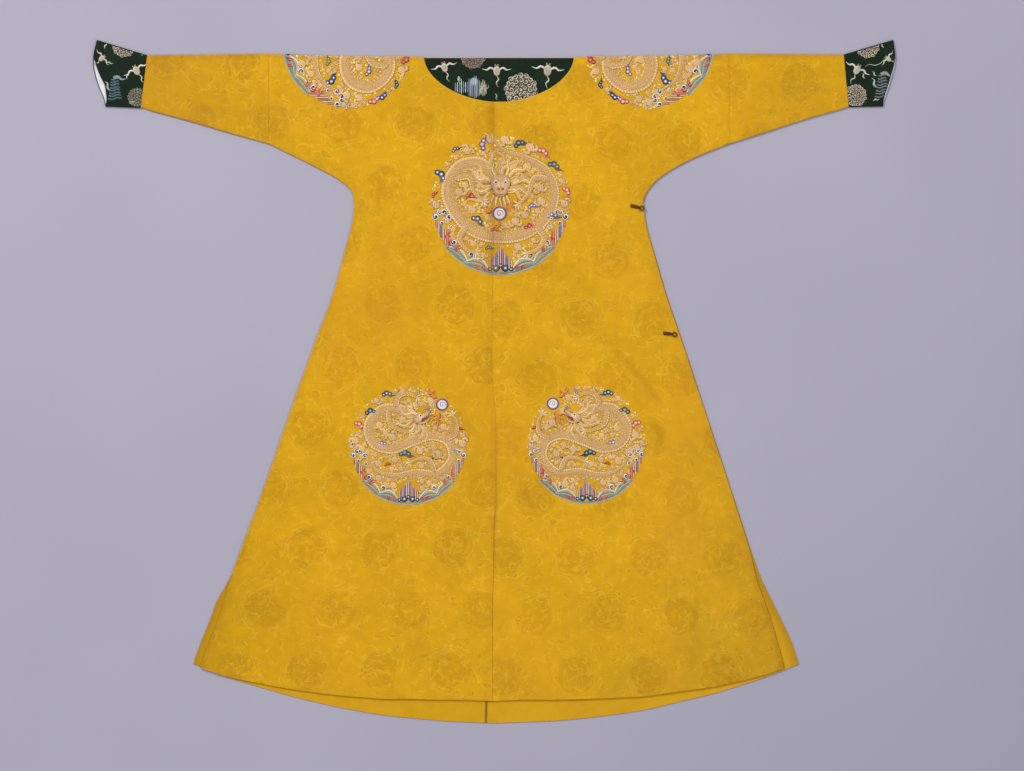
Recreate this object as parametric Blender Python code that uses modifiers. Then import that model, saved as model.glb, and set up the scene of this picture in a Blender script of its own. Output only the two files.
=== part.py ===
"""Dragon robe of yellow silk, laid flat on its back with the front up.

The robe lies on z = 0. X runs across it, to the right as seen from above, and Y runs from the hem to the
shoulders. Each half of the body is one length of silk, a front and a back in one, folded over the shoulder
and sewn down the centre. Sleeve ends and brocade cuffs are flattened tubes, sewn on in line.

Patterns are drawn in the maker's way: x out from the middle of the neck, and "drop" down from the line of
the shoulders. place() turns both into the robe's own frame, whose origin is the middle of its box, at the
bottom. Left and right are those of someone who looks down at the robe.
"""

import math
from collections import namedtuple

import bmesh
import bpy
from mathutils import Vector

# ---------------------------------------------------------------- driving dimensions, in metres
WALL = 0.0014  # silk, interlining and lining, quilted into one cloth
THIN_WALL = 0.0010  # facing and cuff lining, a single cloth
SEAM_GAP = 0.0003  # between two pieces sewn edge to edge, or laid one on the other
LAYERS = 0.0046  # front and back together, along a fold or a sewn edge
CROWN = 0.0012  # how much the front rises inside its edges
EDGE_ROLL = 0.050  # breadth over which it rises
FOLD_FADE = 0.060  # breadth over which a soft fold dies out towards an edge

LEFT_REACH = 0.9176  # neck middle to the tip of the left cuff
RIGHT_REACH = 0.8956
CUFF_RISE = 0.0316  # how far the cuffs' corners stand above the shoulder line
BACK_LENGTH = 1.5110  # shoulder line to the lowest point of the back hem
FRONT_LENGTH = 1.4600
BACK_BOW = 2.05  # power of the back hem's curve, from the middle to its corners
FRONT_BOW = 2.9
YOKE_BOW = 2.0

NECK_HALF_WIDTH = 0.1690
NECK_DEPTH = 0.1020
NECK_ROUND = 1.85  # power of the neck's curve: 2 is an ellipse
SHOULDER_SAG = 0.0070  # how far the shoulder line dips at the neck
SLEEVE_SEAM = 0.5200  # neck middle to the seam of the sleeve end
FACING_MARGIN = 0.0140  # facing that runs on under the front
LINING_SHARE = 0.80  # share of the cuff's length at which its lining starts to show

CORD_RADIUS = 0.0016
LOOP_EYE = 0.0046  # radius of a loop's eye, to the middle of the cord
LOOP_STRANDS = 0.0036  # between the two strands of a loop's stem

MAIN_COLUMNS = 14  # cells across a half, outside the neck
NECK_COLUMNS = 3  # cells of the back inside the neck
NECK_ROWS = 6  # cells down the neck's curve
YOKE_ROWS = 2  # cells from the neck's lowest point to the foot of the sleeve seam
SECTION_STEP = 0.080  # greatest step between sections of the skirt
FOLD_STEPS = 4  # facets round a fold or a sewn edge
TUBE_SECTIONS = 6
TUBE_COLUMNS = 6

LEFT, RIGHT = -1, 1
WORLD_X = (LEFT_REACH - RIGHT_REACH) / 2
WORLD_Y = (BACK_LENGTH - CUFF_RISE) / 2

# ---------------------------------------------------------------- sections and folds, in metres
# One row for each section down the side. Back and front are the distances out from the neck middle.
SideSection = namedtuple("SideSection", "name drop back_left back_right front_left front_right")
SIDE_SECTIONS = (
    SideSection("sleeve seam foot", 0.2035, 0.5200, 0.5200, 0.5200, 0.5200),
    SideSection("underarm slope", 0.2310, 0.4640, 0.4500, 0.4640, 0.4500),
    SideSection("underarm hollow", 0.2580, 0.4100, 0.3965, 0.4100, 0.3965),
    SideSection("underarm turn", 0.2850, 0.3615, 0.3575, 0.3615, 0.3575),
    SideSection("above armpit", 0.3120, 0.3325, 0.3345, 0.3325, 0.3345),
    SideSection("armpit top", 0.3250, 0.3283, 0.3285, 0.3283, 0.3285),
    SideSection("armpit", 0.3390, 0.3268, 0.3263, 0.3268, 0.3263),
    SideSection("armpit foot", 0.3600, 0.3280, 0.3290, 0.3280, 0.3270),
    SideSection("upper loop", 0.3800, 0.3312, 0.3318, 0.3312, 0.3285),
    SideSection("chest", 0.4500, 0.3490, 0.3512, 0.3490, 0.3420),
    SideSection("ribs", 0.5560, 0.3794, 0.3826, 0.3794, 0.3740),
    SideSection("lower loop", 0.6460, 0.4134, 0.4133, 0.4134, 0.4100),
    SideSection("hip", 0.7820, 0.4624, 0.4580, 0.4624, 0.4565),
    SideSection("thigh", 1.0080, 0.5410, 0.5322, 0.5410, 0.5305),
    SideSection("above vent", 1.1435, 0.5918, 0.5768, 0.5918, 0.5718),
    SideSection("vent top", 1.1840, 0.6079, 0.5918, 0.6060, 0.5810),
    SideSection("vent", 1.2380, 0.6379, 0.6180, 0.6230, 0.6010),
    SideSection("vent middle", 1.2790, 0.6531, 0.6381, 0.6360, 0.6154),
    SideSection("vent foot", 1.3335, 0.6750, 0.6628, 0.6590, 0.6319),
    SideSection("hem corner", 1.3790, 0.6905, 0.6775, 0.6744, 0.6441),
)
FRONT_CORNER_DROP = 1.3880
ARMPIT_DROP = 0.3390
VENT_DROP = 1.1840

# The centre seam leans a little, and below the front vent its edge lies further over.
SeamSection = namedtuple("SeamSection", "name drop front back")
SEAM_SECTIONS = (
    SeamSection("neck", 0.0, 0.0, 0.0),
    SeamSection("above vent", 0.9600, -0.0045, -0.0186),
    SeamSection("vent", 1.0500, -0.0124, -0.0204),
    SeamSection("hem", 1.5110, -0.0124, -0.0294),
)

# Underside of the sleeve ends: distance out from the neck middle, and the drop on each side.
SleeveSection = namedtuple("SleeveSection", "name out left right")
SLEEVE_SECTIONS = (
    SleeveSection("body seam", 0.5200, 0.2035, 0.2035),
    SleeveSection("elbow", 0.6000, 0.1813, 0.1782),
    SleeveSection("forearm", 0.6800, 0.1578, 0.1518),
    SleeveSection("wrist", 0.7500, 0.1385, 0.1316),
    SleeveSection("cuff seam", 0.8090, 0.1230, 0.1170),
)

# The cuff's seam and its flared mouth, from the fold on top to the seam underneath.
CuffEnd = namedtuple("CuffEnd", "name side out drop")
CUFF_SEAM = (
    CuffEnd("top", LEFT, 0.7944, 0.0030),
    CuffEnd("foot", LEFT, 0.8090, 0.1225),
    CuffEnd("top", RIGHT, 0.7786, 0.0016),
    CuffEnd("foot", RIGHT, 0.7896, 0.1205),
)
MouthSection = namedtuple("MouthSection", "name drop upper_left lower_left upper_right lower_right")
MOUTH_SECTIONS = (
    MouthSection("top corner", -0.0316, 0.9085, 0.9085, 0.8905, 0.8905),
    MouthSection("tip", 0.0050, 0.9140, 0.9168, 0.8945, 0.8952),
    MouthSection("under tip", 0.0200, 0.9090, 0.9176, 0.8930, 0.8956),
    MouthSection("middle", 0.0480, 0.8985, 0.9130, 0.8855, 0.8888),
    MouthSection("lower middle", 0.0760, 0.8871, 0.9040, 0.8770, 0.8802),
    MouthSection("lower", 0.1030, 0.8860, 0.8927, 0.8690, 0.8712),
    MouthSection("bottom corner", 0.1190, 0.8893, 0.8893, 0.8674, 0.8674),
)
MOUTH_LIFT = 0.0020  # how far the upper layer stands off the lining at the mouth

# Broad soft folds of the front: a line from one point to another, each point (x, drop).
SoftFold = namedtuple("SoftFold", "name start end height breadth")
SOFT_FOLDS = (
    SoftFold("left shoulder drag", (-0.230, 0.075), (-0.440, 0.165), 0.0011, 0.034),
    SoftFold("right shoulder drag", (0.230, 0.080), (0.450, 0.160), 0.0013, 0.036),
    SoftFold("left sleeve swell", (-0.560, 0.085), (-0.740, 0.070), 0.0010, 0.030),
    SoftFold("right sleeve swell", (0.560, 0.090), (0.720, 0.068), 0.0010, 0.030),
    SoftFold("left side fall", (-0.260, 0.380), (-0.345, 0.760), 0.0014, 0.040),
    SoftFold("right side fall", (0.255, 0.400), (0.320, 0.700), 0.0012, 0.040),
    SoftFold("right knee arc", (0.315, 0.710), (0.385, 0.900), 0.0015, 0.036),
    SoftFold("left skirt flare", (-0.360, 0.960), (-0.500, 1.360), 0.0018, 0.050),
    SoftFold("middle left flare", (-0.150, 1.080), (-0.215, 1.430), 0.0014, 0.045),
    SoftFold("middle right flare", (0.130, 1.100), (0.170, 1.440), 0.0015, 0.042),
    SoftFold("right skirt flare", (0.340, 1.000), (0.455, 1.380), 0.0019, 0.050),
)

# Button loops on the front's right edge: where the stem starts and where the eye is.
Loop = namedtuple("Loop", "name stem eye")
LOOPS = (
    Loop("loop_upper", (0.2970, 0.3430), (0.3225, 0.3490)),
    Loop("loop_lower", (0.3710, 0.6310), (0.3965, 0.6340)),
)


# ---------------------------------------------------------------- lines and heights of the pattern
def place(x, drop, height):
    """A point of the pattern in the robe's own frame."""
    return Vector((x + WORLD_X, WORLD_Y - drop, height))


def ease(share):
    """A smooth step from 0 to 1."""
    share = min(max(share, 0.0), 1.0)
    return share * share * (3 - 2 * share)


def mix(start, end, share):
    return start + (end - start) * share


def smooth_line(stations, values, at):
    """The smooth curve through a table's column, read at one station (monotone cubic)."""
    count = len(stations)
    slopes = [(values[i + 1] - values[i]) / (stations[i + 1] - stations[i]) for i in range(count - 1)]
    tangents = [slopes[0]]
    for before, after in zip(slopes, slopes[1:]):
        tangents.append(0.0 if before * after <= 0 else 2 * before * after / (before + after))
    tangents.append(slopes[-1])
    at = min(max(at, stations[0]), stations[-1])
    i = min(sum(station <= at for station in stations[1:]), count - 2)
    width = stations[i + 1] - stations[i]
    t = (at - stations[i]) / width
    start = (1 + 2 * t) * (1 - t) ** 2 * values[i] + t * (1 - t) ** 2 * width * tangents[i]
    end = t * t * (3 - 2 * t) * values[i + 1] + t * t * (t - 1) * width * tangents[i + 1]
    return start + end


def column(table, field):
    return [getattr(row, field) for row in table]


def side_line(side, layer, drop):
    """How far out the side of the front or the back lies at this drop."""
    field = f"{layer}_{'left' if side == LEFT else 'right'}"
    return smooth_line(column(SIDE_SECTIONS, "drop"), column(SIDE_SECTIONS, field), drop)


def seam_line(layer, drop):
    return smooth_line(column(SEAM_SECTIONS, "drop"), column(SEAM_SECTIONS, layer), drop)


def underside_line(side, out):
    field = "left" if side == LEFT else "right"
    return smooth_line(column(SLEEVE_SECTIONS, "out"), column(SLEEVE_SECTIONS, field), out)


def shoulder_line(x):
    """Drop of the folded shoulder: it sags towards the neck."""
    share = (abs(x) - NECK_HALF_WIDTH) / (SLEEVE_SEAM - NECK_HALF_WIDTH)
    return SHOULDER_SAG * (1 - min(max(share, 0.0), 1.0) ** YOKE_BOW)


def neck_point(angle, margin=0.0):
    """Half of the neck's curve, from its end at the shoulder (0) to its lowest point (pi / 2)."""
    out = (NECK_HALF_WIDTH + margin) * max(math.cos(angle), 0.0) ** (2 / NECK_ROUND)
    drop = SHOULDER_SAG + (NECK_DEPTH + margin) * math.sin(angle) ** (2 / NECK_ROUND)
    return out, drop


def cuff_seam(side, name):
    found = next(end for end in CUFF_SEAM if end.side == side and end.name == name)
    return found.out, found.drop


def sewn_edges(side):
    """The line of folded and sewn edges of one half: shoulder, cuff seam, sleeve underside and side."""
    top, foot = cuff_seam(side, "top"), cuff_seam(side, "foot")
    line = [(out, shoulder_line(out)) for out in (NECK_HALF_WIDTH, 0.24, 0.31, 0.38, 0.45, SLEEVE_SEAM)]
    line += [top, foot]
    line += [(out, underside_line(side, out)) for out in (0.75, 0.68, 0.60)]
    for drop in section_drops():
        line.append((side_line(side, "back", drop), drop))
    return [(side * out, drop) for out, drop in line]


def section_drops():
    """The table's drops down the side, with even steps between those that lie far apart."""
    drops = [SIDE_SECTIONS[0].drop]
    for start, end in zip(SIDE_SECTIONS, SIDE_SECTIONS[1:]):
        steps = math.ceil((end.drop - start.drop) / SECTION_STEP)
        drops += [mix(start.drop, end.drop, (i + 1) / steps) for i in range(steps)]
    return drops


def distance_to_line(x, drop, start, end):
    """Distance to a straight line, and the share of its length at the nearest point."""
    along = (end[0] - start[0], end[1] - start[1])
    square = along[0] ** 2 + along[1] ** 2
    share = ((x - start[0]) * along[0] + (drop - start[1]) * along[1]) / square
    share = min(max(share, 0.0), 1.0)
    return math.hypot(x - start[0] - share * along[0], drop - start[1] - share * along[1]), share


SEWN_EDGES = {side: sewn_edges(side) for side in (LEFT, RIGHT)}


def front_height(x, drop):
    """Top of the front above the surface that the robe lies on."""
    line = SEWN_EDGES[LEFT if x < 0 else RIGHT]
    inside = min(distance_to_line(x, drop, *ends)[0] for ends in zip(line, line[1:]))
    height = LAYERS + CROWN * ease(inside / EDGE_ROLL)
    for fold in SOFT_FOLDS:
        distance, share = distance_to_line(x, drop, fold.start, fold.end)
        ridge = math.exp(-((distance / fold.breadth) ** 2)) * (0.55 + 0.45 * math.sin(math.pi * share))
        height += fold.height * ridge * ease(inside / FOLD_FADE)
    return height


# ---------------------------------------------------------------- mesh helpers
def fold_points(edge, outward, height):
    """Half a circle round a folded edge, from the underside to the top. Both ends lie on the layers."""
    radius = height / 2
    points = []
    for i in range(FOLD_STEPS + 1):
        angle = math.pi * (i / FOLD_STEPS - 0.5)
        out = radius * (math.cos(angle) - 1)
        x, drop = edge[0] + outward[0] * out, edge[1] + outward[1] * out
        points.append(place(x, drop, radius * (1 + math.sin(angle))))
    return points


def add_faces(mesh, rows, flip):
    """Quads between rows of vertices. The faces point up where rows run down the robe and columns out left."""
    for upper, lower in zip(rows, rows[1:]):
        for i in range(len(upper) - 1):
            corners = [upper[i], upper[i + 1], lower[i + 1], lower[i]]
            mesh.faces.new(corners[::-1] if flip else corners)


def thicken(obj, wall):
    """The cloth's thickness, inward from its outer face."""
    solidify = obj.modifiers.new("cloth wall", "SOLIDIFY")
    solidify.thickness = wall
    solidify.offset = -1.0
    solidify.use_even_offset = True
    solidify.use_quality_normals = True


def add_object(name, mesh, material, wall, collection):
    data = bpy.data.meshes.new(name)
    mesh.to_mesh(data)
    mesh.free()
    data.shade_smooth()
    data.materials.append(material)
    obj = bpy.data.objects.new(name, data)
    collection.objects.link(obj)
    thicken(obj, wall)
    return obj


def add_material(name, colour, roughness):
    material = bpy.data.materials.new(name)
    material.use_nodes = True
    shader = material.node_tree.nodes["Principled BSDF"]
    shader.inputs["Base Color"].default_value = (*colour, 1.0)
    shader.inputs["Roughness"].default_value = roughness
    shader.inputs["Metallic"].default_value = 0.0
    material.diffuse_color = (*colour, 1.0)
    return material


# ---------------------------------------------------------------- the two lengths of the body
# A section of a half: its two ends, the power of its curve and, where the side is sewn, the way out of it.
Row = namedtuple("Row", "inner outer bow outward")


def outward_normal(side, drop):
    """Direction out of the sewn side, as (x, drop). It points straight down at the sleeve seam's foot."""
    if drop <= SIDE_SECTIONS[0].drop:
        return (0.0, 1.0)
    step = 0.004
    along = side_line(side, "back", drop + step) - side_line(side, "back", drop - step)
    length = math.hypot(along, 2 * step)
    return (side * 2 * step / length, -along / length)


def hem_droop(layer, drop):
    """How much lower than its ends a section hangs in the middle. It grows to the hem's full curve."""
    corner = FRONT_CORNER_DROP if layer == "front" else SIDE_SECTIONS[-1].drop
    full = (FRONT_LENGTH if layer == "front" else BACK_LENGTH) - corner
    share = max(drop - ARMPIT_DROP, 0.0) / (corner - ARMPIT_DROP)
    return full * share**2


def yoke_rows(side, layer):
    """Sections from the folded shoulder to the foot of the sleeve seam."""
    foot = SIDE_SECTIONS[0].drop
    angles = [math.pi / 2 * i / NECK_ROWS for i in range(NECK_ROWS + 1)]
    inner_points = [neck_point(angle) for angle in angles]
    lowest = inner_points[-1][1]
    inner_points += [(0.0, mix(lowest, foot, (i + 1) / (YOKE_ROWS + 1))) for i in range(YOKE_ROWS)]
    rows = []
    for out, drop in inner_points[1:]:
        if layer == "back" or out < SEAM_GAP:
            x = seam_line(layer, drop) + side * SEAM_GAP / 2
        else:
            x = side * out
        outer_drop = (drop - SHOULDER_SAG) / (1 - SHOULDER_SAG / foot)
        outer = (side * (SLEEVE_SEAM - SEAM_GAP / 2), outer_drop)
        rows.append(Row((x, drop), outer, YOKE_BOW, None))
    return rows


def skirt_rows(side, layer):
    """Sections from the foot of the sleeve seam to the hem."""
    corner = SIDE_SECTIONS[-1].drop
    last_sewn = VENT_DROP if side == LEFT else ARMPIT_DROP
    bow = FRONT_BOW if layer == "front" else BACK_BOW
    rows = []
    for drop in section_drops():
        edge_drop = drop
        if layer == "front" and drop > VENT_DROP:
            edge_drop = mix(VENT_DROP, FRONT_CORNER_DROP, (drop - VENT_DROP) / (corner - VENT_DROP))
        edge = (side * side_line(side, layer, drop), edge_drop)
        if drop == SIDE_SECTIONS[0].drop:
            edge = (side * (SLEEVE_SEAM - SEAM_GAP / 2), drop)
        outward = outward_normal(side, drop) if drop <= last_sewn else None
        if outward:
            radius = front_height(*edge) / 2
            edge = (edge[0] - outward[0] * radius, edge[1] - outward[1] * radius)
        middle = edge_drop + hem_droop(layer, edge_drop)
        seam = seam_line(layer, middle)
        middle -= hem_droop(layer, edge_drop) * abs(seam / edge[0]) ** bow
        inner = (seam + side * SEAM_GAP / 2, middle)
        rows.append(Row(inner, edge, bow, outward))
    return rows


def row_point(row, share):
    """A point of a section, by its share of the way from the centre to the side."""
    x = mix(row.inner[0], row.outer[0], share)
    start, end, at = (abs(out) ** row.bow for out in (row.inner[0], row.outer[0], x))
    return x, mix(row.inner[1], row.outer[1], (at - start) / (end - start))


def shoulder_columns(side):
    """Where the columns of a half meet the folded shoulder, from the neck to the sleeve seam."""
    seam = SLEEVE_SEAM - SEAM_GAP / 2
    return [side * mix(NECK_HALF_WIDTH, seam, i / MAIN_COLUMNS) for i in range(MAIN_COLUMNS + 1)]


def make_body(side, name, material, collection):
    """One length of silk: back on the surface, front on top, folded at the shoulder, sewn at the side."""
    mesh = bmesh.new()
    flip = side == RIGHT
    folds = [
        fold_points((x, shoulder_line(x)), (0.0, -1.0), front_height(x, shoulder_line(x)))
        for x in shoulder_columns(side)
    ]
    fold_vertices = [[mesh.verts.new(point) for point in points] for points in folds]

    front = [[points[-1] for points in fold_vertices]]
    front_rows = yoke_rows(side, "front") + skirt_rows(side, "front")
    for row in front_rows:
        points = [row_point(row, i / MAIN_COLUMNS) for i in range(MAIN_COLUMNS + 1)]
        front.append([mesh.verts.new(place(x, drop, front_height(x, drop))) for x, drop in points])

    neck_share = NECK_HALF_WIDTH / SLEEVE_SEAM
    shares = [neck_share * i / NECK_COLUMNS for i in range(NECK_COLUMNS)]
    shares += [mix(neck_share, 1.0, i / MAIN_COLUMNS) for i in range(MAIN_COLUMNS + 1)]
    neck_edge = SHOULDER_SAG + front_height(side * NECK_HALF_WIDTH, SHOULDER_SAG) / 2
    first_x = seam_line("back", neck_edge) + side * SEAM_GAP / 2
    neck_x = [mix(first_x, side * NECK_HALF_WIDTH, i / NECK_COLUMNS) for i in range(NECK_COLUMNS)]
    back = [[mesh.verts.new(place(x, neck_edge, 0.0)) for x in neck_x]]
    back[0] += [points[0] for points in fold_vertices]
    back_rows = yoke_rows(side, "back") + skirt_rows(side, "back")
    for row in back_rows:
        points = [row_point(row, share) for share in shares]
        back.append([mesh.verts.new(place(x, drop, 0.0)) for x, drop in points])

    add_faces(mesh, front, flip)
    add_faces(mesh, back, not flip)
    add_faces(mesh, list(zip(*fold_vertices)), flip)
    side_strip = []
    for row, front_row, back_row in zip(front_rows, front[1:], back[1:]):
        if row.outward is None:
            continue
        upper, lower = front_row[-1], back_row[-1]
        radius = upper.co.z / 2
        edge = (row.outer[0] + row.outward[0] * radius, row.outer[1] + row.outward[1] * radius)
        middle = [mesh.verts.new(point) for point in fold_points(edge, row.outward, upper.co.z)[1:-1]]
        side_strip.append([lower, *middle, upper])
    add_faces(mesh, side_strip, not flip)
    return add_object(name, mesh, material, WALL, collection)


# ---------------------------------------------------------------- sleeve ends and cuffs
def make_tube(name, sections, side, material, collection):
    """A flattened tube through sections. A section gives, for each layer, its points from top to underside.

    Its first and last points are on the two edges, and every point is (x, drop, height of the upper layer).
    """
    mesh = bmesh.new()
    rings = []
    for upper, lower in sections:
        top_edge, foot_edge = upper[0], upper[-1]
        top_fold = fold_points(top_edge[:2], (0.0, -1.0), top_edge[2])
        foot_fold = fold_points(foot_edge[:2], (0.0, 1.0), foot_edge[2])
        ring = [place(x, drop, height) for x, drop, height in upper[1:-1]]
        ring += foot_fold[::-1]
        ring += [place(x, drop, 0.0) for x, drop, height in lower[-2:0:-1]]
        ring += top_fold
        rings.append([mesh.verts.new(point) for point in ring])
    rows = [ring + ring[:1] for ring in rings]
    add_faces(mesh, rows, side == LEFT)
    return add_object(name, mesh, material, WALL, collection)


def make_sleeve(side, name, material, collection):
    top, foot = cuff_seam(side, "top"), cuff_seam(side, "foot")
    sections = []
    for i in range(TUBE_SECTIONS + 1):
        share = i / TUBE_SECTIONS
        gap = mix(SEAM_GAP / 2, -SEAM_GAP / 2, share)
        top_x = mix(SLEEVE_SEAM, top[0], share) + gap
        foot_x = mix(SLEEVE_SEAM, foot[0], share) + gap
        top_drop = mix(0.0, top[1], share)
        foot_drop = mix(underside_line(side, foot_x), foot[1], ease(share * 4 - 3))
        layer = []
        for j in range(TUBE_COLUMNS + 1):
            down = j / TUBE_COLUMNS
            x, drop = side * mix(top_x, foot_x, down), mix(top_drop, foot_drop, down)
            layer.append((x, drop, front_height(x, drop)))
        sections.append((layer, layer))
    return make_tube(name, sections, side, material, collection)


def cuff_point(side, layer, along, down):
    """A point of a cuff: along from its seam to its mouth, down from its fold to its underside."""
    top, foot = cuff_seam(side, "top"), cuff_seam(side, "foot")
    first, last = MOUTH_SECTIONS[0].drop, MOUTH_SECTIONS[-1].drop
    field = f"{layer}_{'left' if side == LEFT else 'right'}"
    mouth_drop = mix(first, last, down)
    mouth_out = smooth_line(column(MOUTH_SECTIONS, "drop"), column(MOUTH_SECTIONS, field), mouth_drop)
    seam_out, seam_drop = mix(top[0], foot[0], down) + SEAM_GAP / 2, mix(top[1], foot[1], down)
    return side * mix(seam_out, mouth_out, along), mix(seam_drop, mouth_drop, along)


def make_cuff(side, name, material, collection):
    sections = []
    for i in range(TUBE_SECTIONS + 1):
        along = i / TUBE_SECTIONS
        layers = {"upper": [], "lower": []}
        for layer, points in layers.items():
            for j in range(TUBE_COLUMNS + 3):
                down = j / (TUBE_COLUMNS + 2)
                x, drop = cuff_point(side, layer, along, down)
                lift = MOUTH_LIFT * along**2 * math.sin(math.pi * down)
                points.append((x, drop, LAYERS + lift))
        sections.append((layers["upper"], layers["lower"]))
    return make_tube(name, sections, side, material, collection)


def make_cuff_lining(side, name, material, collection):
    """The white lining that shows past the upper layer at the cuff's mouth. It lies on the lower layer."""
    mesh = bmesh.new()
    height = WALL + SEAM_GAP + THIN_WALL
    rows = []
    for i in range(10):
        down = mix(0.06, 0.96, i / 9)
        points = [cuff_point(side, "lower", mix(LINING_SHARE, 1.0, j / 3), down) for j in range(4)]
        rows.append([mesh.verts.new(place(x, drop, height)) for x, drop in points])
    add_faces(mesh, rows, side == RIGHT)
    return add_object(name, mesh, material, THIN_WALL, collection)


def make_neck_facing(name, material, collection):
    """Brocade on the inside of the back, seen through the neck. It runs on a little under the front."""
    mesh = bmesh.new()
    height = WALL + SEAM_GAP + THIN_WALL
    top = SHOULDER_SAG + LAYERS / 2 + SEAM_GAP
    columns, rows = 16, []
    for j in range(4):
        row = []
        for i in range(columns + 1):
            angle = math.radians(mix(12.0, 168.0, i / columns))
            out, low = neck_point(min(angle, math.pi - angle), FACING_MARGIN)
            x = math.copysign(out, angle - math.pi / 2)
            row.append(mesh.verts.new(place(x, mix(top, low, j / 3), height)))
        rows.append(row)
    add_faces(mesh, rows, True)
    return add_object(name, mesh, material, THIN_WALL, collection)


# ---------------------------------------------------------------- button loops
def make_loop(loop, material, collection):
    """A button loop: a cord laid double as a stem, then round an eye, on the front's right edge."""
    stem, eye = Vector(loop.stem), Vector(loop.eye)
    along = (eye - stem).normalized()
    across = Vector((-along.y, along.x))
    half = LOOP_STRANDS / 2
    opening = math.asin(half / LOOP_EYE)
    path = [stem + across * half, stem.lerp(eye, 0.5) + across * half]
    for i in range(13):
        angle = math.pi - opening - i / 12 * (2 * math.pi - 2 * opening)
        path.append(eye + along * LOOP_EYE * math.cos(angle) + across * LOOP_EYE * math.sin(angle))
    path += [stem.lerp(eye, 0.5) - across * half, stem - across * half]

    curve = bpy.data.curves.new(loop.name, "CURVE")
    curve.dimensions = "3D"
    curve.bevel_depth = CORD_RADIUS
    curve.bevel_resolution = 2
    curve.use_fill_caps = True
    spline = curve.splines.new("POLY")
    spline.points.add(len(path) - 1)
    for point, (x, drop) in zip(spline.points, path):
        height = front_height(x, drop) + SEAM_GAP + CORD_RADIUS
        point.co = (*place(x, drop, height), 1.0)
    curve.materials.append(material)
    obj = bpy.data.objects.new(loop.name, curve)
    collection.objects.link(obj)
    return obj


# ---------------------------------------------------------------- the robe
def main():
    for obj in list(bpy.data.objects):
        bpy.data.objects.remove(obj)
    robe = bpy.data.collections.new("dragon_robe")
    bpy.context.scene.collection.children.link(robe)
    pieces = (
        (make_body, LEFT, "body_left", (0.64, 0.34, 0.02), 0.45),
        (make_body, RIGHT, "body_right", (0.62, 0.33, 0.02), 0.45),
        (make_sleeve, LEFT, "sleeve_left", (0.64, 0.34, 0.02), 0.45),
        (make_sleeve, RIGHT, "sleeve_right", (0.62, 0.33, 0.02), 0.45),
        (make_cuff, LEFT, "cuff_left", (0.012, 0.030, 0.018), 0.55),
        (make_cuff, RIGHT, "cuff_right", (0.012, 0.030, 0.018), 0.55),
        (make_cuff_lining, LEFT, "cuff_lining_left", (0.75, 0.76, 0.79), 0.60),
        (make_cuff_lining, RIGHT, "cuff_lining_right", (0.75, 0.76, 0.79), 0.60),
    )
    for make, side, name, colour, roughness in pieces:
        make(side, name, add_material(name, colour, roughness), robe)
    make_neck_facing("neck_facing", add_material("neck_facing", (0.012, 0.030, 0.018), 0.55), robe)
    for loop in LOOPS:
        make_loop(loop, add_material(loop.name, (0.060, 0.022, 0.006), 0.60), robe)


main()
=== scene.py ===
"""Dragon robe of yellow silk, laid flat on its back: cloth, brocade, embroidery, cords and stitches.

Everything is in metres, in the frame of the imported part: the robe lies on z = 0, X runs to the right and
Y to the shoulders. Patterns are drawn as a maker draws them: x out from the middle of the neck, and
"drop" down from the shoulder line. Left and right are those of someone who looks down at the robe.
"""

import math
from collections import namedtuple

import bmesh
import bpy
import mathutils
import numpy as np
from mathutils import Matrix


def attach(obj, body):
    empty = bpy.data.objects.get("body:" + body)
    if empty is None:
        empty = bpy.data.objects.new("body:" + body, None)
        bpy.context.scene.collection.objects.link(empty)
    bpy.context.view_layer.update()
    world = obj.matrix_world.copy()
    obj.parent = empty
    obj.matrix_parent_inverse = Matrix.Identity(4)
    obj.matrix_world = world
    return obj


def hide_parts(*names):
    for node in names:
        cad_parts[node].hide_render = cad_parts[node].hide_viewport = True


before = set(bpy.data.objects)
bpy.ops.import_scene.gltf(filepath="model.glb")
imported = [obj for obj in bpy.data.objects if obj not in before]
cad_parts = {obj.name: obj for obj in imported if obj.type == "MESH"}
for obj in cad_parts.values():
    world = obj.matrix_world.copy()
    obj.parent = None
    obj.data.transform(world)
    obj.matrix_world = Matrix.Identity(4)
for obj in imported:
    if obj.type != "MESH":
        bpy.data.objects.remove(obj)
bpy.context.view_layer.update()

LEFT, RIGHT = SIDES = (-1, 1)
PI = math.pi


def table(row, *values):
    """Rows whose values have names."""
    return tuple(row(*value) for value in values)


# ------------------------ dimensions of the robe, in metres
WALL, THIN_WALL, SEAM_GAP, SEWN_GAP = 0.0014, 0.001, 0.0003, 0.00004
LAYERS, CROWN, EDGE_ROLL, FOLD_FADE = 0.0046, 0.0012, 0.05, 0.06
HALF_LAYERS, HALF_SEAM = LAYERS / 2, SEWN_GAP / 2
LEFT_REACH, RIGHT_REACH, CUFF_RISE = 0.9176, 0.8956, 0.0316
BACK_LENGTH, FRONT_LENGTH = 1.511, 1.46
BACK_BOW, FRONT_BOW, YOKE_BOW = 2.05, 2.9, 2.0
NECK_HALF_WIDTH, NECK_DEPTH, NECK_ROUND = 0.169, 0.102, 1.85
SHOULDER_SAG, SLEEVE_SEAM, FACING_MARGIN = 0.007, 0.52, 0.014
LINING_SHARE, MOUTH_LIFT = 0.8, 0.002
CORD_RADIUS, LOOP_EYE, LOOP_STRANDS = 0.0016, 0.0046, 0.0036
FRONT_CORNER_DROP, ARMPIT_DROP, VENT_DROP = 1.388, 0.339, 1.184
CENTRE_VENT_DROP = 1.042  # where the front's centre seam opens
CUFF_LENGTH = 0.11
WORLD_X = (LEFT_REACH - RIGHT_REACH) / 2
WORLD_Y = (BACK_LENGTH - CUFF_RISE) / 2
PRESSED = 0.00035  # how far the back gives way to the embroidery that it lies on

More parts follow.
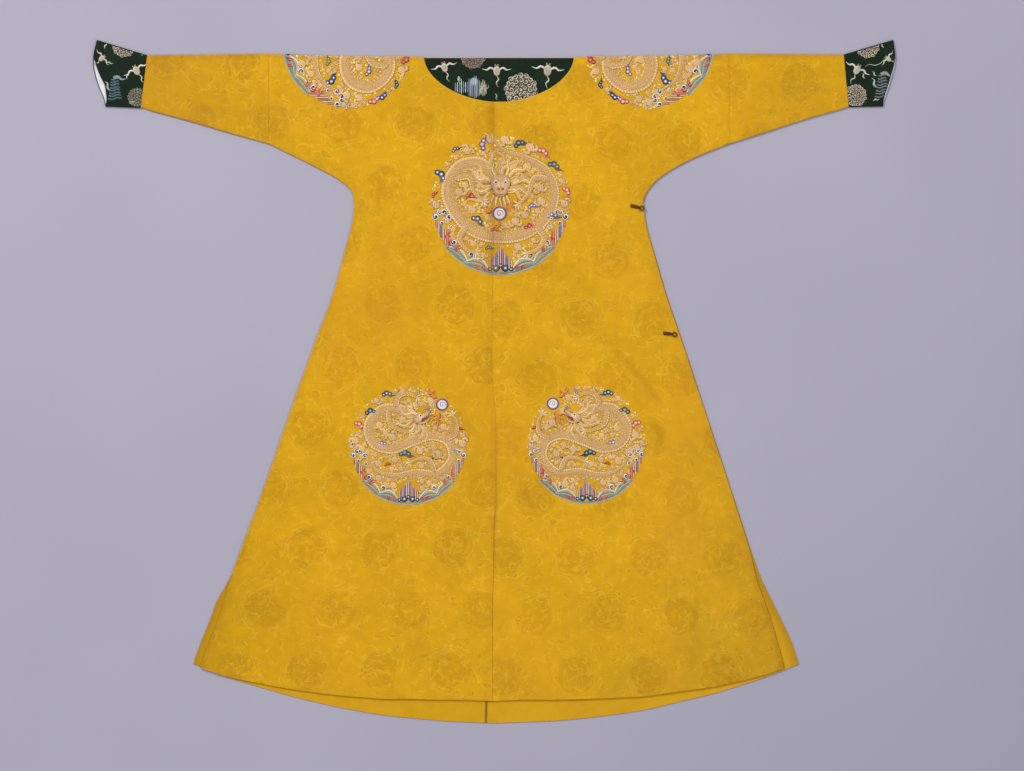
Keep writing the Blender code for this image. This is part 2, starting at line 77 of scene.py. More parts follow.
SideSection = namedtuple("SideSection", "drop back_left back_right front_left front_right")
SIDE_SECTIONS = table(
    SideSection,
    (0.2035, 0.52, 0.52, 0.52, 0.52),
    (0.231, 0.464, 0.45, 0.464, 0.45),
    (0.258, 0.41, 0.3965, 0.41, 0.3965),
    (0.285, 0.3615, 0.3575, 0.3615, 0.3575),
    (0.312, 0.3325, 0.3345, 0.3325, 0.3345),
    (0.325, 0.3283, 0.3285, 0.3283, 0.3285),
    (0.339, 0.3268, 0.3263, 0.3268, 0.3263),
    (0.36, 0.328, 0.329, 0.328, 0.3284),
    (0.38, 0.3312, 0.3318, 0.3312, 0.3308),
    (0.45, 0.349, 0.3512, 0.349, 0.3496),
    (0.556, 0.3794, 0.3826, 0.3794, 0.3808),
    (0.646, 0.4134, 0.4133, 0.4134, 0.4118),
    (0.782, 0.4624, 0.458, 0.4624, 0.4568),
    (1.008, 0.541, 0.5322, 0.541, 0.5305),
    (1.1435, 0.5918, 0.5768, 0.5918, 0.5718),
    (1.184, 0.6079, 0.5918, 0.606, 0.581),
    (1.238, 0.6379, 0.618, 0.623, 0.601),
    (1.279, 0.6531, 0.6381, 0.636, 0.6154),
    (1.3335, 0.675, 0.6628, 0.659, 0.6319),
    (1.379, 0.6905, 0.6775, 0.6744, 0.6441),
)
SeamSection = namedtuple("SeamSection", "drop front back")
SEAM_SECTIONS = table(
    SeamSection,
    (0.0, -0.0108, 0.0),
    (0.2, -0.011, -0.0039),
    (0.4, -0.01, -0.0078),
    (0.52, -0.0138, -0.0101),
    (0.66, -0.0154, -0.0128),
    (0.75, -0.0134, -0.0145),
    (0.82, -0.0076, -0.0159),
    (0.92, -0.0064, -0.0178),
    (1.01, -0.0062, -0.0196),
    (1.07, -0.0108, -0.0208),
    (1.18, -0.0122, -0.0229),
    (1.26, -0.0146, -0.0245),
    (1.511, -0.0148, -0.0294),
)
SleeveSection = namedtuple("SleeveSection", "out left right")
SLEEVE_SECTIONS = table(
    SleeveSection,
    (0.52, 0.2035, 0.2035),
    (0.6, 0.1813, 0.1782),
    (0.68, 0.1578, 0.1518),
    (0.75, 0.1385, 0.1316),
    (0.809, 0.123, 0.117),
)
CuffEnd = namedtuple("CuffEnd", "out drop")
CUFF_SEAM = {
    (LEFT, "top"): CuffEnd(0.7944, 0.003),
    (LEFT, "foot"): CuffEnd(0.809, 0.1225),
    (RIGHT, "top"): CuffEnd(0.7786, 0.0016),
    (RIGHT, "foot"): CuffEnd(0.7896, 0.1205),
}
MouthSection = namedtuple("MouthSection", "drop upper_left lower_left upper_right lower_right")
MOUTH_SECTIONS = table(
    MouthSection,
    (-0.0316, 0.9085, 0.9085, 0.8905, 0.8905),
    (0.005, 0.914, 0.9168, 0.8945, 0.8952),
    (0.02, 0.909, 0.9176, 0.893, 0.8956),
    (0.048, 0.8985, 0.913, 0.8855, 0.8888),
    (0.076, 0.8871, 0.904, 0.877, 0.8802),
    (0.103, 0.886, 0.8927, 0.869, 0.8712),
    (0.119, 0.8893, 0.8893, 0.8674, 0.8674),
)
SoftFold = namedtuple("SoftFold", "name start end height breadth")
SOFT_FOLDS = table(
    SoftFold,
    ("left shoulder drag", (-0.23, 0.075), (-0.44, 0.165), 0.0011, 0.034),
    ("right shoulder drag", (0.23, 0.08), (0.45, 0.16), 0.0013, 0.036),
    ("left sleeve swell", (-0.56, 0.085), (-0.74, 0.07), 0.001, 0.03),
    ("right sleeve swell", (0.56, 0.09), (0.72, 0.068), 0.001, 0.03),
    ("left side fall", (-0.26, 0.38), (-0.345, 0.76), 0.0014, 0.04),
    ("right side fall", (0.255, 0.4), (0.32, 0.7), 0.0012, 0.04),
    ("right knee arc", (0.315, 0.71), (0.385, 0.9), 0.0015, 0.036),
    ("left skirt flare", (-0.36, 0.96), (-0.5, 1.36), 0.0018, 0.05),
    ("middle left flare", (-0.15, 1.08), (-0.215, 1.43), 0.0014, 0.045),
    ("middle right flare", (0.13, 1.1), (0.17, 1.44), 0.0015, 0.042),
    ("right skirt flare", (0.34, 1.0), (0.455, 1.38), 0.0019, 0.05),
)
Loop = namedtuple("Loop", "name stem eye")
LOOPS = table(
    Loop,
    ("loop_upper", (0.297, 0.343), (0.3225, 0.349)),
    ("loop_lower", (0.371, 0.631), (0.3965, 0.634)),
)

# Narrow creases that the silk keeps from its folding: points (x, drop), depth and breadth.
Crease = namedtuple("Crease", "name points depth breadth")
CREASES = table(
    Crease,
    ("right knee crease", ((0.232, 0.632), (0.273, 0.684), (0.319, 0.729), (0.376, 0.803)), 0.0019, 0.0068),
    ("below the knee crease", ((0.346, 0.82), (0.362, 0.862), (0.366, 0.908)), 0.0016, 0.011),
    ("right skirt arc", ((0.034, 0.93), (0.052, 0.976), (0.08, 1.038)), 0.0015, 0.0062),
    ("right hip crease", ((0.396, 0.68), (0.414, 0.722), (0.431, 0.776)), 0.0009, 0.006),
    ("left hip crease", ((-0.412, 0.88), (-0.384, 0.858), (-0.356, 0.826)), 0.0007, 0.006),
    ("left thigh crease", ((-0.507, 1.04), (-0.48, 1.004), (-0.455, 0.976)), 0.0006, 0.006),
    ("left skirt crease", ((-0.528, 1.152), (-0.482, 1.1), (-0.4, 1.068), (-0.337, 1.049)), 0.0008, 0.007),
    ("middle skirt crease", ((0.128, 1.11), (0.15, 1.143), (0.176, 1.174)), 0.0011, 0.0065),
    ("right hem pleat", ((0.447, 1.2), (0.44, 1.3), (0.428, 1.44)), 0.0009, 0.009),
    ("right skirt crease", ((0.428, 1.168), (0.455, 1.178), (0.486, 1.201)), 0.0008, 0.006),
    ("right hem crease", ((0.492, 1.292), (0.545, 1.262), (0.6, 1.248)), 0.0006, 0.007),
    ("left underarm drag", ((-0.322, 0.318), (-0.372, 0.262), (-0.44, 0.224)), 0.0007, 0.01),
    ("right underarm drag", ((0.318, 0.32), (0.362, 0.262), (0.43, 0.22)), 0.0008, 0.01),
    ("left sleeve crease", ((-0.535, 0.15), (-0.6, 0.136), (-0.69, 0.12)), 0.0006, 0.007),
    ("right sleeve crease", ((0.535, 0.155), (0.61, 0.135), (0.7, 0.116)), 0.0006, 0.007),
    ("left yoke drag", ((-0.185, 0.06), (-0.215, 0.13), (-0.225, 0.2)), 0.0005, 0.01),
    ("right yoke drag", ((0.185, 0.06), (0.214, 0.13), (0.228, 0.2)), 0.0005, 0.01),
)

# The dragon roundels: on which layer, middle (x, drop), radius, and whether the design is turned over.
Roundel = namedtuple("Roundel", "name design layer x drop radius mirrored")
ROUNDELS = table(
    Roundel,
    ("roundel_chest", "facing", "front", 0.0036, 0.3424, 0.16, False),
    ("roundel_knee_left", "striding", "front", -0.2045, 0.8848, 0.136, False),
    ("roundel_knee_right", "striding", "front", 0.1978, 0.8825, 0.136, True),
    ("roundel_shoulder_left", "climbing", "shoulder", -0.3401, -0.0233, 0.151, False),
    ("roundel_shoulder_right", "climbing", "shoulder", 0.3379, -0.0233, 0.151, True),
    ("roundel_back", "facing", "back", -0.003, 0.3424, 0.16, False),
    ("roundel_back_knee_left", "striding", "back", -0.2045, 0.8848, 0.136, False),
    ("roundel_back_knee_right", "striding", "back", 0.1978, 0.8825, 0.136, True),
)


# ------------------------ lines of the pattern
def mix(start, end, share):
    return start + (end - start) * share


def ease(share):
    """A smooth step from 0 to 1."""
    share = np.clip(share, 0.0, 1.0)
    return share * share * (3 - 2 * share)


def bell(distance, breadth):
    return np.exp(-((distance / breadth) ** 2))


def smooth_line(table, station, value, at):
    """The smooth curve through a table's column, read at one station or many (monotone cubic)."""
    stations = np.array([getattr(row, station) for row in table])
    values = np.array([getattr(row, value) for row in table])
    slopes = np.diff(values) / np.diff(stations)
    product, total = slopes[:-1] * slopes[1:], slopes[:-1] + slopes[1:]
    middle = np.where(product > 0, 2 * product / np.where(product > 0, total, 1.0), 0.0)
    tangents = np.concatenate([slopes[:1], middle, slopes[-1:]])
    at = np.clip(at, stations[0], stations[-1])
    i = np.clip(np.searchsorted(stations, at, side="right") - 1, 0, len(stations) - 2)
    width = stations[i + 1] - stations[i]
    t = (at - stations[i]) / width
    start = (1 + 2 * t) * (1 - t) ** 2 * values[i] + t * (1 - t) ** 2 * width * tangents[i]
    end = t * t * (3 - 2 * t) * values[i + 1] + t * t * (t - 1) * width * tangents[i + 1]
    return start + end


def side_name(side):
    return "left" if side == LEFT else "right"


def side_line(side, layer, drop):
    return smooth_line(SIDE_SECTIONS, "drop", f"{layer}_{side_name(side)}", drop)


def seam_line(layer, drop):
    return smooth_line(SEAM_SECTIONS, "drop", layer, drop)


def underside_line(side, out):
    return smooth_line(SLEEVE_SECTIONS, "out", side_name(side), out)


def shoulder_line(x):
    """Drop of the folded shoulder: it sags towards the neck."""
    share = (np.abs(x) - NECK_HALF_WIDTH) / (SLEEVE_SEAM - NECK_HALF_WIDTH)
    return SHOULDER_SAG * (1 - np.clip(share, 0.0, 1.0) ** YOKE_BOW)


def neck_point(angle, margin=0.0):
    """Half of the neck's curve, from its end at the shoulder (0) to its lowest point (pi / 2)."""
    out = (NECK_HALF_WIDTH + margin) * np.maximum(np.cos(angle), 0.0) ** (2 / NECK_ROUND)
    drop = SHOULDER_SAG + (NECK_DEPTH + margin) * np.sin(angle) ** (2 / NECK_ROUND)
    return out, drop


def past_the_neck(x, drop):
    """Distance outside the neck's curve, less than nothing inside it."""
    down = np.maximum(drop - SHOULDER_SAG, 0.0)
    reach = (np.abs(x) / NECK_HALF_WIDTH) ** NECK_ROUND + (down / NECK_DEPTH) ** NECK_ROUND
    reach = np.maximum(reach, 1e-9) ** (1 / NECK_ROUND)
    return np.hypot(x, down) * (1 - 1 / np.maximum(reach, 1e-3))


def distance_to_line(x, drop, start, end):
    """Distance to a straight line, and the share of its length at the nearest point."""
    along = (end[0] - start[0], end[1] - start[1])
    share = ((x - start[0]) * along[0] + (drop - start[1]) * along[1]) / (along[0] ** 2 + along[1] ** 2)
    share = np.clip(share, 0.0, 1.0)
    return np.hypot(x - start[0] - share * along[0], drop - start[1] - share * along[1]), share


def distance_to_path(x, drop, points):
    """Distance to a line through several points, and the share of the way along it."""
    nearest, share = np.inf, 0.0
    for i, (start, end) in enumerate(zip(points, points[1:])):
        distance, part = distance_to_line(x, drop, start, end)
        along = (i + part) / (len(points) - 1)
        share = np.where(distance < nearest, along, share)
        nearest = np.minimum(distance, nearest)
    return nearest, share


def sewn_edges(side):
    """The folded and sewn edges of one half: shoulder, cuff seam, sleeve underside and side."""
    shoulder = (NECK_HALF_WIDTH, 0.24, 0.31, 0.38, 0.45, SLEEVE_SEAM)
    line = [(out, float(shoulder_line(out))) for out in shoulder]
    line += [tuple(CUFF_SEAM[side, "top"]), tuple(CUFF_SEAM[side, "foot"])]
    line += [(out, float(underside_line(side, out))) for out in (0.75, 0.68, 0.6)]
    drops = [SIDE_SECTIONS[0].drop]
    for start, end in zip(SIDE_SECTIONS, SIDE_SECTIONS[1:]):
        steps = math.ceil((end.drop - start.drop) / 0.08)
        drops += [mix(start.drop, end.drop, (i + 1) / steps) for i in range(steps)]
    line += [(float(side_line(side, "back", drop)), drop) for drop in drops]
    return [(side * out, drop) for out, drop in line]


SEWN_EDGES = {side: sewn_edges(side) for side in SIDES}


def inside_edges(x, drop):
    """Distance in from the folded and sewn edges."""
    left, _ = distance_to_path(x, drop, SEWN_EDGES[LEFT])
    right, _ = distance_to_path(x, drop, SEWN_EDGES[RIGHT])
    return np.where(x < 0, left, right)


def uneven(x, drop, length, seed):
    """Gentle unevenness, the sum of a few waves that run in all directions."""
    waves = np.random.default_rng(seed).uniform((0, 0, 0.7), (2 * PI, 2 * PI, 1.5), (7, 3))
    total = 0.0
    for turn, phase, stretch in waves:
        across = (x * math.cos(turn) + drop * math.sin(turn)) / (length * stretch)
        total = total + np.sin(2 * PI * across + phase)
    return total / 3.7


def free_edge_distance(x, drop):
    """Distance in from the front's free edges: neck, hem and vents."""
    corner = FRONT_CORNER_DROP
    distance = np.abs(past_the_neck(x, drop))
    for side in SIDES:
        last_sewn = VENT_DROP if side == LEFT else ARMPIT_DROP
        edge = side_line(side, "front", np.minimum(drop, SIDE_SECTIONS[-1].drop))
        beside = np.where(drop > last_sewn, np.abs(np.abs(x) - edge), 1.0)
        distance = np.where(x * side > 0, np.minimum(distance, beside), distance)
    vent = np.where(drop > CENTRE_VENT_DROP, np.abs(x - seam_line("front", drop)), 1.0)
    hem_half = 0.66
    hem = corner + (FRONT_LENGTH - corner) * (1 - np.clip(np.abs(x) / hem_half, 0, 1) ** FRONT_BOW)
    return np.minimum(np.minimum(distance, vent), np.abs(hem - drop))


PUCKER_PITCH = 0.0135


def drawn_in(drop):
    """How much the embroidery on the chest draws the centre seam in."""
    return ease((drop - 0.085) / 0.04) * ease((0.52 - drop) / 0.03)


def front_top(x, drop):
    """Height of the front's outer face, with its folds, creases, puckers and turned edges."""
    x, drop = np.asarray(x, float), np.asarray(drop, float)
    inside = inside_edges(x, drop)
    height = LAYERS + CROWN * ease(inside / EDGE_ROLL)
    quiet = ease(inside / FOLD_FADE)
    near = ease(inside / 0.016)
    for fold in SOFT_FOLDS:
        distance, share = distance_to_line(x, drop, fold.start, fold.end)
        swell = 0.55 + 0.45 * np.sin(PI * share)
        height = height + fold.height * bell(distance, fold.breadth) * swell * quiet
    for crease in CREASES:
        distance, share = distance_to_path(x, drop, crease.points)
        fade = np.sin(PI * np.clip(share * 0.96 + 0.02, 0, 1)) ** 0.6
        profile = bell(distance, crease.breadth) - 0.55 * bell(distance, 2.8 * crease.breadth)
        height = height - crease.depth * profile * fade * near
    seam = x - seam_line("front", drop)
    sewn = 1 - 0.55 * ease((drop - CENTRE_VENT_DROP) / 0.02)
    pucker = np.sin(2 * PI * (drop + 0.004 * uneven(x, drop, 0.05, 5)) / PUCKER_PITCH)
    pucker = pucker * (0.6 + 0.4 * uneven(0 * x, drop, 0.06, 6))
    height = height - (0.00045 * bell(seam, 0.0019) + 0.00022 * bell(seam, 0.009) * pucker) * sewn
    drawn = drawn_in(drop)
    height = height - 0.00085 * bell(seam + 0.004, 0.0085) * drawn
    height = height + 0.0004 * bell(seam - 0.015, 0.008) * drawn
    arm_seam = np.abs(np.abs(x) - SLEEVE_SEAM)
    height = height - 0.0003 * bell(arm_seam, 0.0016) * near
    for r in ROUNDELS:
        if r.layer != "back":
            reach = np.hypot(x - r.x, drop - r.drop) - r.radius
            around = np.arctan2(drop - r.drop, x - r.x)
            ripple = np.sin(around * 31 + 2 * np.sin(around * 5 + r.x * 40))
            puckered = 0.00026 * ripple * bell(reach - 0.004, 0.009)
            height = height + (puckered - 0.0003 * bell(reach - 0.003, 0.004)) * near
    height = height + (0.00034 * uneven(x, drop, 0.16, 1) + 0.00016 * uneven(x, drop, 0.052, 2)) * quiet
    height = height + 0.00006 * uneven(x, drop, 0.017, 3) * near
    turned = free_edge_distance(x, drop)
    height = height - 0.0008 * np.clip(1 - turned / 0.0026, 0, 1) ** 2
    height = height - 0.00022 * bell(turned - 0.0052, 0.0012)
    return np.maximum(height, 0.0042)


def under_side(x, drop):
    """Height of the back's outer face: level, and pressed in where embroidery lies under it."""
    press = 0.0
    for r in ROUNDELS:
        if r.layer == "front":
            continue
        middle = r.drop if r.layer == "back" else 0.028
        reach = np.hypot(x - r.x, drop - middle) - r.radius
        press = np.maximum(press, PRESSED * ease((0.01 - reach) / 0.006))
    return press


# ------------------------ meshes from arrays
def place(x, drop, height):
    """Points of the pattern in the robe's own frame."""
    x, drop, height = np.broadcast_arrays(x, drop, height)
    return np.stack([x + WORLD_X, WORLD_Y - drop, height], axis=-1).astype(float)


def grid_faces(index, flip):
    """Quads of a grid of vertex numbers."""
    quads = np.stack([index[:-1, :-1], index[:-1, 1:], index[1:, 1:], index[1:, :-1]], axis=-1).reshape(-1, 4)
    return quads[:, ::-1] if flip else quads


def row_faces(rows, flip, closed=False):
    """Quads between rows of points that are all as long."""
    index = np.arange(len(rows) * len(rows[0])).reshape(len(rows), -1)
    if closed:
        index = np.concatenate([index, index[:, :1]], axis=1)
    return grid_faces(index, flip)


def mesh_from(name, points, corners, sizes):
    """A mesh from its points, the corners of all its faces in a row, and each face's number of corners."""
    mesh = bpy.data.meshes.new(name)
    mesh.vertices.add(len(points))
    mesh.vertices.foreach_set("co", np.asarray(points, np.float32).ravel())
    mesh.loops.add(len(corners))
    mesh.loops.foreach_set("vertex_index", np.asarray(corners, np.int32))
    mesh.polygons.add(len(sizes))
    starts = np.concatenate([[0], np.cumsum(sizes)[:-1]])
    mesh.polygons.foreach_set("loop_start", starts.astype(np.int32))
    mesh.update(calc_edges=True)
    mesh.validate()
    return mesh


# How Blender calls values of one, two, three and four numbers, and the field that holds them.
VALUE_KINDS = {
    1: ("FLOAT", "value"),
    2: ("FLOAT2", "vector"),
    3: ("FLOAT_VECTOR", "vector"),
    4: ("FLOAT_COLOR", "color"),
}


def set_values(mesh, name, values, domain="POINT"):
    """Gives each point or corner of a mesh its own value."""
    values = np.asarray(values, np.float32)
    kind, field = VALUE_KINDS[values.shape[1] if values.ndim > 1 else 1]
    mesh.attributes.new(name, kind, domain).data.foreach_set(field, values.ravel())


def read_all(items, field, width, kind=np.float32):
    """A field of all the points, corners or faces of a mesh, a row for each."""
    values = np.empty(len(items) * width, kind)
    items.foreach_get(field, values)
    return values.reshape(-1, width)


def add_piece(name, mesh, materials, slot=None):
    """A finished piece: it rides on the robe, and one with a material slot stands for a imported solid."""
    mesh.name = name
    mesh.materials.clear()
    for material in materials:
        mesh.materials.append(material)
    piece = bpy.data.objects.new(name, mesh)
    bpy.context.scene.collection.objects.link(piece)
    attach(piece, "root")
    if slot:
        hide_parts(name.rsplit("_", 1)[0])
    return piece


def sew(name, points, faces, materials, slot, shades=None, wall=WALL):
    """A piece of cloth, as thick as its wall, inward from the outer face that its points give."""
    mesh = mesh_from(name, np.concatenate(points), faces.ravel(), np.full(len(faces), 4))
    # shades: painted shade for each point, read by the materials.
    if shades is not None:
        set_values(mesh, "seam_shade", np.concatenate(shades))
    mesh.shade_smooth()
    piece = add_piece(name, mesh, materials, slot)
    cloth = piece.modifiers.new("cloth wall", "SOLIDIFY")
    cloth.thickness, cloth.offset = wall, -1.0
    cloth.use_even_offset = cloth.use_quality_normals = True
    cloth.material_offset = len(materials) - 1
    return piece


# ------------------------ the cloth of the body
NEAR_EDGE = np.array([0.0, 0.0007, 0.0017, 0.0033, 0.006, 0.01])
BODY_CELLS, NECK_CELLS, FOLD_STEPS = 56, 18, 10
NECK_ROWS, YOKE_ROWS, SKIRT_ROWS = 26, 11, 146
CREASE_SHADE = 190  # how dark the painted shade of a crease is, for its depth in metres
# How dark the painted shade is along the centre seam, and on the silk beside it: drops, and the shade at
# each.
SEAM_LINE_SHADE = ((0.5, 0.8, 0.94, 1.05, 1.12, 1.22, 1.44), (0.08, 0.14, 0.34, 0.52, 0.46, 0.2, 0.06))
SEAM_SIDE_SHADE = ((0.48, 0.56, 0.76, 0.98, 1.08, 1.2), (0.0, 0.13, 0.15, 0.26, 0.14, 0.06))
Row = namedtuple("Row", "inner outer bow outward")


def spread(start, end, cells, at_start=True, at_end=True):
    """Stations from one end to the other, close together near the edges."""
    width = abs(end - start)
    first = NEAR_EDGE if at_start else np.array([0.0])
    last = width - NEAR_EDGE[::-1] if at_end else np.array([width])
    middle = np.linspace(first[-1], last[0], cells + 1)[1:-1]
    return start + math.copysign(1, end - start) * np.concatenate([first, middle, last])


def outward_normal(side, drop):
    """Direction out of the sewn side, as (x, drop)."""
    if drop <= SIDE_SECTIONS[0].drop:
        return (0.0, 1.0)
    step = 0.004
    along = float(side_line(side, "back", drop + step) - side_line(side, "back", drop - step))
    length = math.hypot(along, 2 * step)
    return (side * 2 * step / length, -along / length)


def hem_droop(layer, drop):
    corner = FRONT_CORNER_DROP if layer == "front" else SIDE_SECTIONS[-1].drop
    full = (FRONT_LENGTH if layer == "front" else BACK_LENGTH) - corner
    return full * (max(drop - ARMPIT_DROP, 0.0) / (corner - ARMPIT_DROP)) ** 2


def yoke_rows(side, layer):
    """Sections from the folded shoulder to the foot of the sleeve seam."""
    foot = SIDE_SECTIONS[0].drop
    inner = [neck_point(PI / 2 * (i + 1) / NECK_ROWS) for i in range(NECK_ROWS)]
    lowest = float(inner[-1][1])
    inner += [(0.0, lowest + step) for step in NEAR_EDGE[1:]]
    start = inner[-1][1]
    inner += [(0.0, mix(start, foot, i / YOKE_ROWS)) for i in range(1, YOKE_ROWS)]
    rows = []
    for out, drop in inner:
        x = side * float(out)
        if layer == "back" or out < SEWN_GAP:
            x = float(seam_line(layer, drop)) + side * HALF_SEAM
        outer_drop = (drop - SHOULDER_SAG) / (1 - SHOULDER_SAG / foot)
        outer = (side * (SLEEVE_SEAM - HALF_SEAM), float(outer_drop))
        rows.append(Row((x, float(drop)), outer, YOKE_BOW, None))
    return rows


def skirt_rows(side, layer):
    """Sections from the foot of the sleeve seam to the hem."""
    corner = SIDE_SECTIONS[-1].drop
    last_sewn = VENT_DROP if side == LEFT else ARMPIT_DROP
    bow = FRONT_BOW if layer == "front" else BACK_BOW
    top = SIDE_SECTIONS[0].drop
    drops = np.linspace(top, corner - NEAR_EDGE[-1], SKIRT_ROWS)
    drops = np.concatenate([drops, corner - NEAR_EDGE[-2::-1]])
    rows = []
    for drop in drops.tolist():
        edge_drop = drop
        if layer == "front" and drop > VENT_DROP:
            edge_drop = mix(VENT_DROP, FRONT_CORNER_DROP, (drop - VENT_DROP) / (corner - VENT_DROP))
        edge = (side * float(side_line(side, layer, drop)), edge_drop)
        if drop == top:
            edge = (side * (SLEEVE_SEAM - HALF_SEAM), drop)
        outward = outward_normal(side, drop) if drop <= last_sewn else None
        if outward:
            radius = float(front_top(*edge)) / 2
            edge = (edge[0] - outward[0] * radius, edge[1] - outward[1] * radius)
        middle = edge_drop + hem_droop(layer, edge_drop)
        seam = float(seam_line(layer, middle))
        middle -= hem_droop(layer, edge_drop) * abs(seam / edge[0]) ** bow
        rows.append(Row((seam + side * HALF_SEAM, middle), edge, bow, outward))
    return rows


def along_row(row, x):
    """The drops of a section at these x."""
    start, end = (abs(out) ** row.bow for out in (row.inner[0], row.outer[0]))
    return mix(row.inner[1], row.outer[1], (np.abs(x) ** row.bow - start) / (end - start))


def hem_wave(x, drop):
    """The hem's small ups and downs."""
    return 0.0011 * uneven(x, 0 * x, 0.11, 21) * ease((drop - 1.28) / 0.12)


def half_circle(x, drop, outward, low, high):
    """Points round a folded edge from the underside to the top."""
    radius = (high - low) / 2
    rings = []
    for i in range(1, FOLD_STEPS):
        angle = PI * (i / FOLD_STEPS - 0.5)
        reach = radius * math.cos(angle)
        height = low + radius * (1 + math.sin(angle))
        rings.append(place(x + outward[0] * reach, drop + outward[1] * reach, height))
    return rings


def seam_shade(x, drop, layer):
    """Painted shade: how much darker the silk is painted along seams, vents, edges, folds and creases, where
    shade falls.
    """
    seam, out = x - seam_line(layer, drop), np.abs(x)
    edge = np.where(x < 0, side_line(LEFT, layer, drop), side_line(RIGHT, layer, drop)) - out
    # On the back: painted shade along its centre vent below the front's hem, and where the front's edges lie
    # over it.
    if layer == "back":
        low = ease((drop - ARMPIT_DROP) / 0.1)
        return np.maximum(bell(seam, 0.0026) * (drop > 1.2), 0.42 * bell(edge, 0.02) * low)
    drawn = drawn_in(drop)
    line = np.interp(drop, *SEAM_LINE_SHADE)
    wide = np.interp(drop, *SEAM_SIDE_SHADE)
    # Each term is painted shade: the centre seam and the drawn-in silk beside it, the vent edges (which also
    # stand for their darker edging), the lower sides, the neck, the right side, the sleeve seams, the sewn
    # edges and the shoulder fold.
    shades = [
        line * bell(seam, 0.0035),
        wide * bell(seam + 0.006, 0.0085),
        0.36 * bell(seam + 0.0035, 0.01) * drawn,
        0.26 * bell(seam - 0.008, 0.015) * ease((drop - 0.19) / 0.03) * drawn,
        0.45 * bell(edge, 0.003) * (drop > VENT_DROP - 0.01),
        0.3 * bell(edge, 0.014) * ease((drop - 0.95) / 0.3),
        0.1 * bell(past_the_neck(x, drop), 0.0022),
        0.1 * bell(edge - 0.01, 0.006) * (x > 0) * (drop > 0.36),
        0.08 * bell(out - SLEEVE_SEAM, 0.0022),
        0.15 * bell(inside_edges(x, drop), 0.008),
        0.34 * bell(np.maximum(drop - shoulder_line(x), 0.0), 0.011) * ease((out - 0.36) / 0.12),
    ]
    # Painted shade along the creases, darker where they are deeper.
    for crease in CREASES:
        distance, share = distance_to_path(x, drop, crease.points)
        tone = CREASE_SHADE * crease.depth * bell(distance, 1.1 * crease.breadth)
        shades.append(tone * np.sin(PI * share) ** 0.6)
    return np.maximum.reduce(shades)


def make_body(side, name, materials):
    """One length of silk: back underneath, front on top, folded at the shoulder and sewn at the side."""
    flip = side == RIGHT
    points, shades, count = [], [], 0

    def add_points(xyz, shade):
        nonlocal count
        index = np.arange(count, count + len(xyz))
        points.append(xyz)
        shades.append(np.broadcast_to(shade, len(xyz)))
        count += len(xyz)
        return index

    fold_x = spread(side * NECK_HALF_WIDTH, side * (SLEEVE_SEAM - HALF_SEAM), BODY_CELLS)
    edge_drop = shoulder_line(fold_x)
    high = front_top(fold_x, edge_drop + HALF_LAYERS)
    low = under_side(fold_x, edge_drop + HALF_LAYERS) * np.ones_like(fold_x)
    radius = (high - low) / 2
    fold_drop = edge_drop + radius
    # Painted shade round the shoulder fold, as on the front beside it.
    shade = seam_shade(fold_x, edge_drop, "front")
    fold_low = add_points(place(fold_x, fold_drop, low), 0.0)
    front = [fold_low]
    front += [add_points(ring, shade) for ring in half_circle(fold_x, fold_drop, (0.0, -1.0), low, high)]
    front.append(add_points(place(fold_x, fold_drop, high), shade))

    def add_row(row, x, layer, surface, wave):
        """One section of a layer, with its last point's number and height."""
        drop = along_row(row, x)
        drop = drop + hem_wave(x, drop) * wave
        height = surface(x, drop) * np.ones_like(x)
        index = add_points(place(x, drop, height), seam_shade(x, drop, layer))
        return index, (index[-1], height[-1])

    front_rows = yoke_rows(side, "front") + skirt_rows(side, "front")
    front_ends = []
    for row in front_rows:
        index, end = add_row(row, spread(row.inner[0], row.outer[0], BODY_CELLS), "front", front_top, 1.0)
        front.append(index)
        front_ends.append(end)

    neck_share = NECK_HALF_WIDTH / SLEEVE_SEAM
    neck_edge = float(edge_drop[0] + radius[0])
    first_x = float(seam_line("back", neck_edge)) + side * HALF_SEAM
    x = spread(first_x, side * NECK_HALF_WIDTH, NECK_CELLS, at_end=False)[:-1]
    back = [np.concatenate([add_points(place(x, neck_edge, 0.0), 0.0), fold_low])]
    back_rows = yoke_rows(side, "back") + skirt_rows(side, "back")
    back_ends = []
    for row in back_rows:
        neck_x = mix(row.inner[0], row.outer[0], neck_share)
        x = spread(row.inner[0], neck_x, NECK_CELLS, at_end=False)[:-1]
        x = np.concatenate([x, spread(neck_x, row.outer[0], BODY_CELLS)])
        index, end = add_row(row, x, "back", under_side, 0.7)
        back.append(index)
        back_ends.append(end)

    faces = [grid_faces(np.array(front), flip), grid_faces(np.array(back), not flip)]
    strip = []
    for row, (upper, high), (lower, low) in zip(front_rows, front_ends, back_ends):
        if row.outward is None:
            continue
        rings = half_circle(row.outer[0], row.outer[1], row.outward, low, high)
        # The folded sides get a little painted shade (0.15).
        middle = [add_points(ring.reshape(1, 3), 0.15)[0] for ring in rings]
        strip.append([lower, *middle, upper])
    faces.append(grid_faces(np.array(strip), not flip))
    return sew(name, points, np.concatenate(faces), materials, "yellow_silk", shades)


